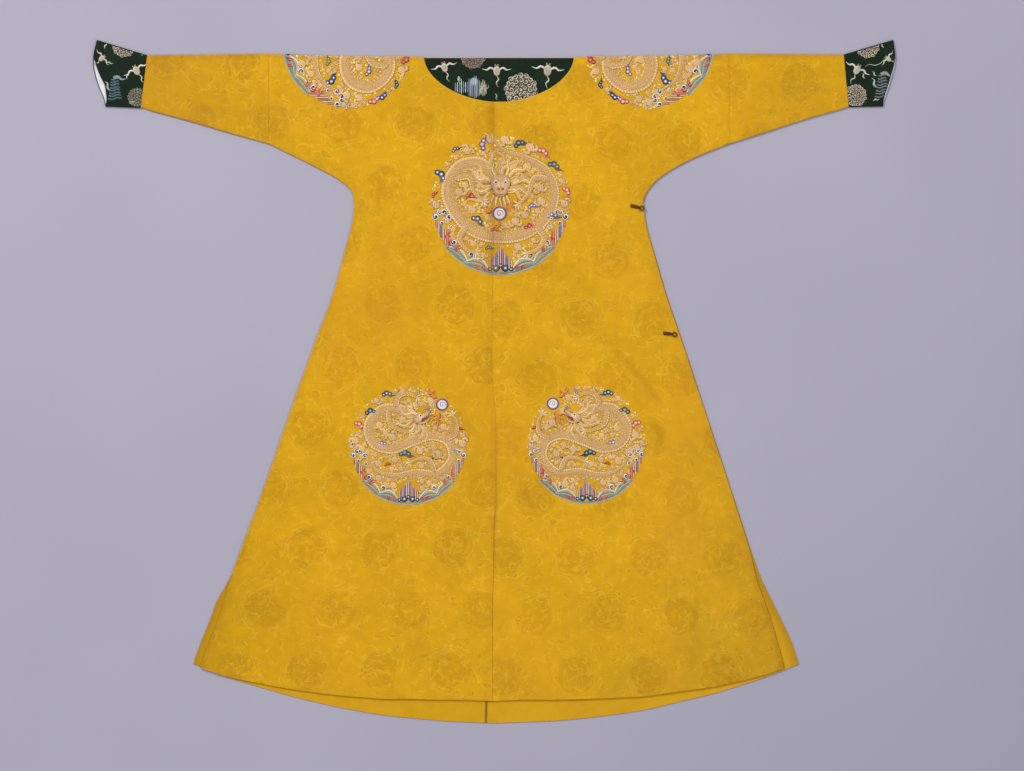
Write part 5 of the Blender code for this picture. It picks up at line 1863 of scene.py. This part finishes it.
def jar(work, middle, size):
    """A striped dome with plumes at its sides."""
    for x, y, reach, tall, edge, heart in JAR_CAPS:
        cap = round_outline((middle[0] + x * size, middle[1] + y * size), reach * size, 14, tall)
        work.patch(cap, [(0.5, edge), (1.0, heart)], -0.0001, 0.0002)
    for first, last, count, foot, head, own in JAR_STRIPES:
        x = np.linspace(first, last, count)
        bow = 0.25 * np.sin(PI * (x - first) / (last - first)) + 0.1 * np.sin(9 * x)
        spans = np.column_stack([x, -foot - 0.5 * bow, head - 0.25 + bow])
        stripes(work, spans * size + (middle[0], middle[1], middle[1]), 0.056 * size, own)
    for x, y, turn, thread in JAR_PLUMES:
        plume(work, (middle[0] + x * size, middle[1] + y * size), 0.8 * size, turn, thread)


def tower(work, middle, size, dyes):
    """Stacked eaves with a pennant at the top."""
    for i in range(8):
        y, reach = -0.9 + 0.23 * i, 0.58 - 0.045 * i
        eave = [(-reach, 0.06), (-0.2, -0.04), (0.2, 0.06), (reach, -0.04)]
        eave = turned(eave, (middle[0], middle[1] + y * size), 0.12, size)
        work.band(smooth_path(eave, 8), 0.075 * size, (dyes[i % 2], dyes[(i + 1) % 2]))
    post = turned([(0.05, -0.95), (-0.02, 0.0), (-0.1, 0.85)], middle, 0.0, size)
    work.band(smooth_path(post, 6), 0.06 * size, (dyes[0],), 0.0, 0.0005)
    flag = turned([(-0.12, 0.8), (0.25, 0.95), (0.55, 0.7), (1.0, 0.78)], middle, 0.0, size)
    work.stroke(flag, 9, (0.18, 0.14, 0.03), size, (dyes[1], "mist"), 0.0, 0.0004)
    plume(work, (middle[0] - 0.45 * size, middle[1] - 0.2 * size), 0.8 * size, 1.9, "reed")


def facing_figures():
    work = Needlework(21)
    medallion(work, (0.0497, -0.0815), 0.0378, feet=(-0.55, -0.3, 0.45))
    medallion(work, (-0.059, -0.006), 0.0285, ("umber", "rose beige", "rose beige"))
    jar(work, (-0.0575, -0.0735), 0.0235)
    bat(work, (-0.123, -0.031), 0.019, 0.25)
    bat(work, (-0.005, -0.0385), 0.0205)
    bat(work, (0.11, -0.0375), 0.023, -0.1)
    for x, y in ((-0.008, -0.09), (0.137, -0.064), (-0.129, -0.07)):
        plume(work, (x, y), 0.016, -1.4, "leaf")
    return work.finish("facing_figures"), [(0.0, -0.0098, PI)]


def cuff_figures(side):
    """Figures of one cuff, and the lines where the cuff ends."""
    work = Needlework(22 + side)
    if side == LEFT:
        medallion(work, (-0.847, 0.0185), 0.027)
        bat(work, (-0.8185, -0.0384), 0.019, 0.5)
        tower(work, (-0.867, -0.077), 0.027, ("teal", "slate"))
        medallion(work, (-0.8175, -0.0985), 0.0215, ("umber", "moss", "pale beige"))
        bat(work, (-0.8965, -0.0105), 0.014, -0.9)
        plumes = (
            (-0.885, -0.0205, -0.2), (-0.84, -0.056, 1.2), (-0.89, 0.012, 1.2),
            (-0.806, -0.004, 0.8), (-0.833, -0.113, 0.4),
        )
    else:
        medallion(work, (0.8325, 0.0165), 0.0268)
        bat(work, (0.8085, -0.0365), 0.0195, -0.5)
        tower(work, (0.8655, -0.07), 0.029, ("teal", "rose beige"))
        medallion(work, (0.805, -0.0945), 0.0255)
        bat(work, (0.879, -0.012), 0.013, 0.9)
        wisp = (
            (0.8258, -0.0305), (0.835, -0.024), (0.848, -0.0262), (0.86, -0.0225), (0.868, -0.015),
            (0.878, -0.005),
        )
        work.stroke(wisp, 16, (0.0005, 0.0012, 0.0005), 1.0, ("reed", "ivory"))
        plumes = ((0.826, -0.056, 1.9), (0.869, 0.014, 2.0), (0.846, -0.106, 0.2), (0.852, -0.05, 2.2))
    for x, y, turn in plumes:
        plume(work, (x, y), 0.014, turn, "ivory")
    head, foot = CUFF_SEAM[side, "top"], CUFF_SEAM[side, "foot"]
    first, last = MOUTH_SECTIONS[0], MOUTH_SECTIONS[-1]
    mouth_top = getattr(first, f"upper_{side_name(side)}")
    mouth_foot = getattr(last, f"upper_{side_name(side)}")
    upper = math.atan2(head.drop - first.drop, side * (mouth_top - head.out))
    lower = math.atan2(foot.drop - last.drop, side * (mouth_foot - foot.out))
    seam = math.atan2(head.drop - foot.drop, side * (foot.out - head.out))
    turn_over = PI if side == RIGHT else 0.0
    lines = [(0.8905, -0.02, 1.315)] if side == RIGHT else []
    lines += [
        (side * head.out, -head.drop - 0.0026, upper + turn_over),
        (side * foot.out, -foot.drop + 0.0026, lower + PI - turn_over),
        (side * (head.out + 0.0006), -head.drop, seam + (0.0 if side == RIGHT else PI)),
    ]
    return work.finish(f"cuff_figures_{side_name(side)}"), lines


# ------------------------ stitches and loops
def stitch_line(work, x, drop, pitch):
    """Running stitches along a line."""
    path = np.column_stack([x, -drop])
    ahead, _, along = path_frame(path)
    at = np.arange(pitch, along[-1] - pitch, pitch)
    spot = np.column_stack([np.interp(at, along, path[:, i]) for i in (0, 1)])
    forward = [np.interp(at, along, ahead[:, i]) for i in (0, 1)]
    work.tiles("stitch", spot, 0.0, np.arctan2(forward[1], forward[0]), pitch * 0.62, 0.0007)


def front_hem(x, up):
    """Drop of a line a little above the front's hem."""
    edge = np.where(x < 0, SIDE_SECTIONS[-1].front_left, SIDE_SECTIONS[-1].front_right)
    bowed = hem_droop("front", FRONT_CORNER_DROP) * (1 - np.minimum(np.abs(x) / edge, 1) ** FRONT_BOW)
    return FRONT_CORNER_DROP + bowed - up


# How far the stitches lie in from each edge, and the length from one stitch to the next.
NECK_INSET, HEM_INSET, SIDE_INSET, VENT_INSET = 0.0044, 0.0085, 0.0062, 0.0058
NECK_STITCH, HEM_STITCH, VENT_STITCH, BAR_STITCH = 0.0046, 0.006, 0.0058, 0.002


def front_stitches():
    """Hand stitches along the turned edges: neck, hem and vents."""
    work = Needlework(31)
    angle = np.linspace(0.03, PI / 2, 60)
    for side in SIDES:
        out, drop = neck_point(angle, NECK_INSET)
        stitch_line(work, side * out, drop, NECK_STITCH)
        x = side * np.linspace(0.016, 0.655, 120)
        stitch_line(work, x, front_hem(x, HEM_INSET), HEM_STITCH)
        start = VENT_DROP if side == LEFT else ARMPIT_DROP
        drop = np.linspace(start + 0.004, FRONT_CORNER_DROP - 0.012, 160)
        out = side_line(side, "front", np.minimum(drop, SIDE_SECTIONS[-1].drop)) - SIDE_INSET
        stitch_line(work, side * out, drop, VENT_STITCH)
        drop = np.linspace(CENTRE_VENT_DROP, FRONT_LENGTH - 0.012, 60)
        x = seam_line("front", drop) + side * VENT_INSET
        stitch_line(work, x, drop, VENT_STITCH)
    for i in range(5):
        bar = CENTRE_VENT_DROP + 0.0012 * i
        across = np.linspace(-0.0036, 0.0036, 4) + seam_line("front", bar)
        stitch_line(work, across, np.full(4, bar), BAR_STITCH)
    return work.finish("front_stitches")


def loop_frame(loop):
    """A loop's stem, its eye, the direction from one to the other, and the direction across."""
    stem, eye = np.array(loop.stem), np.array(loop.eye)
    along = (eye - stem) / np.hypot(*(eye - stem))
    return stem, eye, along, np.array([-along[1], along[0]])


def loop_path(loop):
    """The cord's way: out along the stem, round the eye and back."""
    stem, eye, along, across = loop_frame(loop)
    half = LOOP_STRANDS / 2
    opening = math.asin(half / LOOP_EYE)
    angle = PI - opening - np.linspace(0, 1, 13) * 2 * (PI - opening)
    ring = eye + LOOP_EYE * (np.outer(np.cos(angle), along) + np.outer(np.sin(angle), across))
    halfway = (stem + eye) / 2
    aside = across * half
    return np.vstack([stem + aside, halfway + aside, ring, halfway - aside, stem - aside])


PLY_TURN = 0.0065  # length of cord in which a ply goes round once
LOOP_WRAPS = ((0.0012, 6), (0.0098, 4))  # where each wrapping starts along the stem, and its turns of thread


def make_loop(loop, material):
    """A button loop of three plies, wrapped with thread where it is sewn down."""
    path = smooth_path(loop_path(loop), 150)
    _, left, along = path_frame(path)
    height = front_top(path[:, 0], path[:, 1]) + SEAM_GAP + CORD_RADIUS
    lines, thick = [], []
    for ply in range(3):
        turn = 2 * PI * (along / PLY_TURN + ply / 3)
        reach = 0.46 * CORD_RADIUS
        lines.append((path + left * (reach * np.cos(turn))[:, None], height + reach * np.sin(turn)))
        thick.append(0.56 * CORD_RADIUS)
    stem, _, forward, across = loop_frame(loop)
    base = float(front_top(*loop.stem)) + SEAM_GAP
    for start, wraps in LOOP_WRAPS:
        for i in range(wraps):
            turn = np.linspace(0, PI, 11)
            centre = stem + forward * (start + 0.0009 * i)
            reach = LOOP_STRANDS / 2 + 1.25 * CORD_RADIUS
            rise = base - 0.0004 + 2.5 * CORD_RADIUS * np.sin(turn) ** 0.5
            lines.append((centre + np.outer(reach * np.cos(turn), across), rise))
            thick.append(0.0005)
    mesh = cord_lines("loop_lines", [place(*way.T, rise) for way, rise in lines], thick)
    set_values(mesh, "along", np.concatenate([length_along(way) for way, _ in lines]))
    made = run_tree(CORD_TREE, mesh, {"Sides": 9, "Material": material})
    made.shade_smooth()
    return add_piece(f"{loop.name}_cord", made, [material], "brown_cord")


# ------------------------ shader groups
FIGURE_COLUMN, FIGURE_RADIUS = 0.1638, 0.043  # the woven rounds: distance across, and radius
# Distance from one thread or ridge to the next.
SILK_THREAD, COARSE_THREAD, TWILL, FLOSS, CORD_TWIST = 0.0007, 0.0008, 0.0011, 0.00055, 0.0011


def build_damask():
    """Woven figures: coiled rounds in staggered rows, and broken curls over the ground between them."""
    inputs = [("Vector", "Vector"), ("Across", "Float"), ("Up", "Float"), ("Pitch", "Float", 0.1367)]
    outputs = [("Figure", "Float"), ("Glint", "Float")]
    n, given, out = node_group("damask figures", "ShaderNodeTree", inputs, outputs)
    drift = n.fill("TexNoise", {"Vector": given["Vector"], "Scale": 34.0, "Detail": 1.0}).outputs["Color"]
    bend = n.vector("SCALE", n.vector("SUBTRACT", drift, (0.5, 0.5, 0.5)))
    bend.node.inputs["Scale"].default_value = 0.022
    x, y, _ = n.split(n.vector("ADD", given["Vector"], bend))
    lean = n.times_add(y, -0.012, x)
    row_at = n.math("DIVIDE", n.math("SUBTRACT", y, given["Up"]), given["Pitch"])
    row = n.math("ROUND", row_at)
    odd = n.math("PINGPONG", row, 1.0)
    column_at = n.math("DIVIDE", n.math("SUBTRACT", lean, given["Across"]), FIGURE_COLUMN)
    column_at = n.times_add(odd, 0.58, column_at)
    px = n.times(n.math("SUBTRACT", column_at, n.math("ROUND", column_at)), FIGURE_COLUMN)
    px = n.times(px, n.times_add(odd, 2.0, -1.0))
    py = n.times(n.math("SUBTRACT", row_at, row), given["Pitch"])
    reach = n.math("DIVIDE", n.vector("LENGTH", n.join(px, py)), FIGURE_RADIUS)
    turn = n.math("DIVIDE", n.math("ARCTAN2", py, px), 2 * PI)
    patchy = n.noise(given["Vector"], 17.0, 3.0)
    broken = n.ramp(n.noise(given["Vector"], 60.0, 1.0), 0.45, 0.6)

    def curls(scale, at, wide):
        """Little rings, one round the middle of each random cell."""
        cells = n.fill("TexVoronoi", {"Vector": n.join(x, n.times(y, 1.25)), "Scale": scale}, feature="F1")
        gap = n.math("ABSOLUTE", n.math("SUBTRACT", cells.outputs["Distance"], at))
        return n.ramp(gap, wide, 0.35 * wide)

    coil = n.math("PINGPONG", n.times_add(reach, 1.75, turn), 0.5)
    body = n.ramp(coil, 0.15, 0.23)
    inside = n.ramp(reach, 1.06, 0.9)
    small = curls(105.0, 0.36, 0.15)
    coiled = n.math("MAXIMUM", n.times(body, 0.55), small)
    figure = n.times(inside, n.times_add(coiled, 0.8, 0.12))
    ground = n.times(curls(46.0, 0.4, 0.13), n.ramp(patchy, 0.42, 0.58))
    rim = n.ramp(n.math("ABSOLUTE", n.math("SUBTRACT", reach, 0.98)), 0.1, 0.03)
    figure = n.math("MAXIMUM", figure, n.times(n.times(rim, broken), 0.7))
    n.put(out["Figure"], n.math("MAXIMUM", figure, n.times(n.times(ground, broken), 0.6)))
    halo = n.math("PINGPONG", n.times_add(turn, 3.0, n.times(reach, 2.6)), 0.5)
    halo = n.ramp(n.math("ABSOLUTE", n.math("SUBTRACT", halo, 0.25)), 0.1, 0.04)
    halo = n.times(halo, n.ramp(reach, 0.8, 1.0))
    halo = n.times(halo, n.ramp(reach, 1.6, 1.35))
    glint = n.math("MAXIMUM", n.times(halo, 0.9), n.times(curls(46.0, 0.55, 0.1), 0.75))
    n.put(out["Glint"], n.times(glint, broken))
    return n.tree


def build_weave():
    """Fine threads over and under, slubs along the warp, and soft mottling."""
    inputs = [("Vector", "Vector"), ("Thread", "Float", SILK_THREAD)]
    outputs = [("Threads", "Float"), ("Slub", "Float"), ("Mottle", "Float")]
    n, given, out = node_group("woven threads", "ShaderNodeTree", inputs, outputs)
    x, y, _ = n.split(given["Vector"])
    warp = n.math("SINE", n.times(n.math("DIVIDE", x, given["Thread"]), 2 * PI))
    weft = n.math("SINE", n.times(n.math("DIVIDE", y, given["Thread"]), 2 * PI))
    n.put(out["Threads"], n.times_add(warp, 0.35, n.times(weft, 0.15)))
    across = n.fill("Mapping", {"Vector": given["Vector"], "Scale": (900.0, 22.0, 22.0)}).outputs[0]
    along = n.fill("Mapping", {"Vector": given["Vector"], "Scale": (26.0, 700.0, 26.0)}).outputs[0]
    slub = n.math("ADD", n.noise(across, 1.0), n.noise(along, 1.0))
    n.put(out["Slub"], n.times(slub, 0.5))
    wide = n.noise(given["Vector"], 7.0, 3.0)
    n.put(out["Mottle"], n.times_add(n.noise(given["Vector"], 45.0), 0.4, n.times(wide, 0.6)))
    return n.tree


DAMASK, WEAVE = build_damask(), build_weave()


# ------------------------ materials
def shade_rgb(red, green, blue):
    return (*dye(red, green, blue).tolist(), 1.0)


def new_material(name, roughness, sheen=0.0, sheen_tint=(1.0, 1.0, 1.0, 1.0), gloss=0.35):
    material = bpy.data.materials.new(name)
    material.use_nodes = True
    n = Nodes(material.node_tree)
    shader = material.node_tree.nodes["Principled BSDF"]
    looks = {"Roughness": roughness, "Specular IOR Level": gloss}
    looks |= {"Sheen Weight": sheen, "Sheen Roughness": 0.45, "Sheen Tint": sheen_tint}
    for socket, value in looks.items():
        n.put(shader.inputs[socket], value)
    return material, n, shader


def add_bump(n, shader, height, strength=0.8):
    bump = n.fill("Bump", {"Strength": strength, "Distance": 1.0, "Height": height})
    n.put(shader.inputs["Normal"], bump.outputs["Normal"])


def silk_damask(name, figures_at, arm, base, figure, glint):
    """Yellow silk with figures where figures_at says. The argument after figures_at is the painted shade at
    the wrist: the share of its brightness left there.
    """
    material, n, shader = new_material(
        name, roughness=0.5, sheen=0.08, sheen_tint=(1.0, 0.7, 0.12, 1.0), gloss=0.16
    )
    spot = n.spot()
    damask = n.group(DAMASK, Vector=spot, **figures_at)
    weave = n.group(WEAVE, Vector=spot, Thread=SILK_THREAD)
    colour = n.blend(n.times(damask["Figure"], 0.78), shade_rgb(*base), shade_rgb(*figure))
    colour = n.blend(n.times(damask["Glint"], 0.7), colour, shade_rgb(*glint))
    lot = n.ramp(weave["Mottle"], 0.32, 0.68, 0.9, 1.07)
    lot = n.times(lot, n.ramp(weave["Slub"], 0.25, 0.75, 0.95, 1.05))
    # Painted shade: darker towards the wrists, and darker towards the lower right corner, away from the key
    # light.
    along_arm = n.math("ABSOLUTE", n.split(spot)[0])
    lot = n.times(lot, n.ramp(along_arm, 0.42, 0.7, 1.0, arm))
    towards_shaded_corner = n.vector("DOT_PRODUCT", spot, (0.85, -0.5, 0.0))
    lot = n.times(lot, n.ramp(towards_shaded_corner, 0.35, 0.75, 1.0, 0.9))
    colour = n.tone(colour, lot)
    worn = n.ramp(n.noise(spot, 3.2), 0.42, 0.72, 0.0, 0.35)
    colour = n.blend(worn, colour, shade_rgb(206, 146, 24))
    # Painted shade along seams, edges, folds and creases, in an orange-brown.
    shade = n.attribute("seam_shade")
    colour = n.blend(n.times(shade, 0.8), colour, shade_rgb(146, 92, 6))
    n.put(shader.inputs["Base Color"], colour)
    n.put(shader.inputs["Roughness"], n.times_add(damask["Figure"], 0.14, 0.44))
    relief = n.times_add(damask["Figure"], -0.00012, n.times(weave["Threads"], 0.00005))
    relief = n.times_add(weave["Slub"], 0.0002, relief)
    add_bump(n, shader, relief)
    return material


def plain_silk(name, base, dark, roughness, sheen, gloss=0.35):
    """Plain woven silk, for linings and the cloth's hidden faces."""
    material, n, shader = new_material(name, roughness, sheen, gloss=gloss)
    spot = n.spot()
    weave = n.group(WEAVE, Vector=spot, Thread=COARSE_THREAD)
    colour = n.blend(n.ramp(weave["Mottle"], 0.35, 0.75), shade_rgb(*base), shade_rgb(*dark))
    lot = n.ramp(weave["Slub"], 0.25, 0.75, 0.95, 1.04)
    colour = n.tone(colour, lot)
    # Painted shade from the mesh, for the inner faces that show at the vents.
    shade = n.attribute("seam_shade")
    n.put(shader.inputs["Base Color"], n.blend(n.times(shade, 0.9), colour, shade_rgb(110, 66, 14)))
    add_bump(n, shader, n.times_add(weave["Slub"], 0.0003, n.times(weave["Threads"], 0.00006)))
    return material


def green_brocade():
    """Dark green twill with a faint figure of its own colour."""
    tint = (0.7, 0.9, 0.8, 1.0)
    material, n, shader = new_material(
        "green brocade", roughness=0.6, sheen=0.02, sheen_tint=tint, gloss=0.12
    )
    spot = n.spot()
    weave = n.group(WEAVE, Vector=spot, Thread=COARSE_THREAD)
    small = n.vector("MULTIPLY", spot, (2.6, 2.6, 2.6))
    figure = n.group(DAMASK, Vector=small, Across=0.02, Up=0.01)
    x, y, _ = n.split(spot)
    twill = n.math("SINE", n.times(n.math("ADD", x, y), 2 * PI / TWILL))
    colour = n.blend(n.times(figure["Figure"], 0.5), shade_rgb(20, 37, 22), shade_rgb(32, 54, 34))
    colour = n.blend(n.ramp(weave["Mottle"], 0.35, 0.7, 0.0, 0.6), colour, shade_rgb(17, 30, 20))
    lot = n.ramp(twill, -1.0, 1.0, 0.86, 1.1)
    n.put(shader.inputs["Base Color"], n.tone(colour, lot))
    add_bump(n, shader, n.times_add(weave["Slub"], 0.0002, n.times(twill, 0.00006)))
    return material


def stitched(name, patina):
    """Floss, woven figures and couched metal thread, each in the colour that it carries."""
    material, n, shader = new_material(name, roughness=0.5, sheen=0.15, gloss=0.25)
    colour = n.node("Attribute", attribute_name="thread_colour").outputs["Color"]
    along = n.split(n.node("UVMap", uv_map="threads").outputs[0])[0]
    spot = n.spot()
    threads = n.math("SINE", n.times(along, 2 * PI / FLOSS))
    lot = n.ramp(threads, -1.0, 1.0, 0.86, 1.08)
    lot = n.times(lot, n.ramp(n.noise(spot, 420.0), 0.3, 0.7, 0.88, 1.1))
    colour = n.tone(colour, lot)
    aged = n.ramp(n.noise(spot, 38.0), 0.45, 0.75, 0.0, 0.3)
    colour = n.blend(aged, colour, shade_rgb(*patina))
    # Painted shade on the embroidery, as on the silk under it.
    shade = n.attribute("seam_shade")
    colour = n.blend(n.times(shade, 0.95), colour, shade_rgb(132, 88, 40))
    n.put(shader.inputs["Base Color"], colour)
    metal = n.attribute("metal")
    n.put(shader.inputs["Metallic"], n.times(metal, 0.9))
    n.put(shader.inputs["Roughness"], n.times_add(metal, -0.3, 0.56))
    add_bump(n, shader, n.times(threads, 0.00005), 0.9)
    return material


def loop_cord():
    """Brown silk cord, with the twist of each ply."""
    tint = (0.9, 0.7, 0.5, 1.0)
    material, n, shader = new_material("brown loop cord", roughness=0.55, sheen=0.2, sheen_tint=tint)
    spot = n.spot()
    along = n.attribute("along")
    twist = n.math("SINE", n.times(along, 2 * PI / CORD_TWIST))
    uneven_dye = n.ramp(n.noise(spot, 300.0), 0.3, 0.7)
    colour = n.blend(uneven_dye, shade_rgb(74, 42, 14), shade_rgb(118, 76, 28))
    lot = n.ramp(twist, -1.0, 1.0, 0.75, 1.12)
    n.put(shader.inputs["Base Color"], n.tone(colour, lot))
    add_bump(n, shader, n.times(twist, 0.0001), 0.9)
    return material


def studio_floor():
    material, n, shader = new_material("studio floor", roughness=0.85)
    spot = n.spot()
    tone = n.ramp(n.noise(spot, 1.4), 0.3, 0.7)
    colour = n.blend(tone, shade_rgb(170, 166, 181), shade_rgb(174, 170, 184))
    # Painted shade: the floor darker towards the lower right, away from the key light.
    fade = n.ramp(n.vector("DOT_PRODUCT", spot, (0.8, -0.6, 0.0)), 0.1, 1.7, 0.0, 0.5)
    n.put(shader.inputs["Base Color"], n.blend(fade, colour, shade_rgb(140, 137, 152)))
    return material


# ------------------------ the robe
# The left sleeve gets more painted shade at the wrist than the right one.
SILK = {
    LEFT: silk_damask(
        "yellow silk, left length", {"Across": 0.0755, "Up": 0.172, "Pitch": 0.1372}, arm=0.86,
        base=(214, 160, 11), figure=(193, 139, 6), glint=(230, 178, 40),
    ),
    RIGHT: silk_damask(
        "yellow silk, right length", {"Across": 0.027, "Up": 0.14, "Pitch": 0.1341}, arm=0.93,
        base=(215, 161, 11), figure=(194, 141, 6), glint=(231, 179, 38),
    ),
}
INNER_SILK = plain_silk(
    "inner face of the silk", (212, 160, 16), (202, 149, 10), roughness=0.6, sheen=0.05, gloss=0.16
)
WHITE_SILK = plain_silk("white lining silk", (228, 226, 230), (206, 204, 212), roughness=0.5, sheen=0.15)
BROCADE = green_brocade()
BROCADE_BACK = plain_silk("brocade, wrong side", (54, 62, 50), (40, 46, 38), roughness=0.65, sheen=0.1)
EMBROIDERY = stitched("embroidery threads", patina=(206, 158, 84))
WOVEN_FIGURES = stitched("woven figures of the brocade", patina=(92, 92, 84))
CORD = loop_cord()


def both_sides(make, name, *materials):
    """A piece for each side, named for it. A dictionary gives each side its own material."""
    made = {}
    for side in SIDES:
        own = [look[side] if isinstance(look, dict) else look for look in materials]
        made[side] = make(side, name.replace("SIDE", side_name(side)), own)
    return made


bodies = both_sides(make_body, "body_SIDE_silk", SILK, INNER_SILK)
sleeves = both_sides(make_sleeve, "sleeve_SIDE_silk", SILK, INNER_SILK)
cuffs = both_sides(make_cuff, "cuff_SIDE_brocade", BROCADE, BROCADE_BACK)
linings = both_sides(make_cuff_lining, "cuff_lining_SIDE_cloth", WHITE_SILK)
facing = make_neck_facing("neck_facing_brocade", [BROCADE])

roundels = {r.name: make_roundel(r, EMBROIDERY) for r in ROUNDELS}


def lay_figures(name, mesh, ends, layer, material):
    """Needlework that is drawn where it lies, ended along the lines given."""
    cut_along(mesh, ends, True)
    return add_piece(name, lay_mesh(mesh, layer, 0.0, 0.0, (1.0, 0.0), (0.0, -1.0)), [material])


stitches = lay_figures("edge_stitches", front_stitches(), [], "front", EMBROIDERY)
figures = lay_figures("facing_figures", *facing_figures(), "facing", WOVEN_FIGURES)
for side in SIDES:
    name = f"cuff_figures_{side_name(side)}"
    lay_figures(name, *cuff_figures(side), "cuff", WOVEN_FIGURES)
loops = [make_loop(loop, CORD) for loop in LOOPS]


# ------------------------ floor, light and camera
FLOOR_HALF, FLOOR_GAP = 6.0, 0.0004
SENSOR_WIDTH, CAMERA_HEIGHT, VIEW_WIDTH = 36.0, 6.0, 2.314


def add_floor():
    mesh = bpy.data.meshes.new("floor")
    corners = [(-1, -1), (1, -1), (1, 1), (-1, 1)]
    points = [(x * FLOOR_HALF, y * FLOOR_HALF, -FLOOR_GAP) for x, y in corners]
    mesh.from_pydata(points, [], [(0, 1, 2, 3)])
    mesh.materials.append(studio_floor())
    floor = bpy.data.objects.new("floor", mesh)
    bpy.context.scene.collection.objects.link(floor)


def add_light(name, place_at, aim, size, energy, colour):
    lamp = bpy.data.lights.new(name, "AREA")
    lamp.shape, lamp.size = "DISK", size
    lamp.energy, lamp.color = energy, colour
    light = bpy.data.objects.new(name, lamp)
    light.location = place_at
    beam = mathutils.Vector(aim) - mathutils.Vector(place_at)
    light.rotation_euler = beam.to_track_quat("-Z", "Y").to_euler()
    bpy.context.scene.collection.objects.link(light)


def add_camera():
    camera = bpy.data.cameras.new("camera")
    camera.sensor_width, camera.lens = SENSOR_WIDTH, SENSOR_WIDTH * CAMERA_HEIGHT / VIEW_WIDTH
    camera.clip_end = 50.0
    view = bpy.data.objects.new("camera", camera)
    view.location = (0.0404, -0.0095, CAMERA_HEIGHT)
    bpy.context.scene.collection.objects.link(view)
    bpy.context.scene.camera = view


add_floor()
add_light(
    "key light", place_at=(-4.7, 5.6, 5.9), aim=(0.0, 0.1, 0.0), size=2.6, energy=534.0,
    colour=(1.0, 0.99, 0.97)
)
add_light(
    "fill light", place_at=(3.4, -1.6, 4.8), aim=(0.0, 0.0, 0.0), size=3.5, energy=70.0,
    colour=(0.97, 0.98, 1.0)
)
add_camera()
world = bpy.data.worlds.new("studio")
world.use_nodes = True
background = world.node_tree.nodes["Background"]
background.inputs["Color"].default_value = (0.93, 0.94, 1.0, 1.0)
background.inputs["Strength"].default_value = 0.55
bpy.context.scene.world = world
bpy.context.scene.view_settings.view_transform = "Standard"
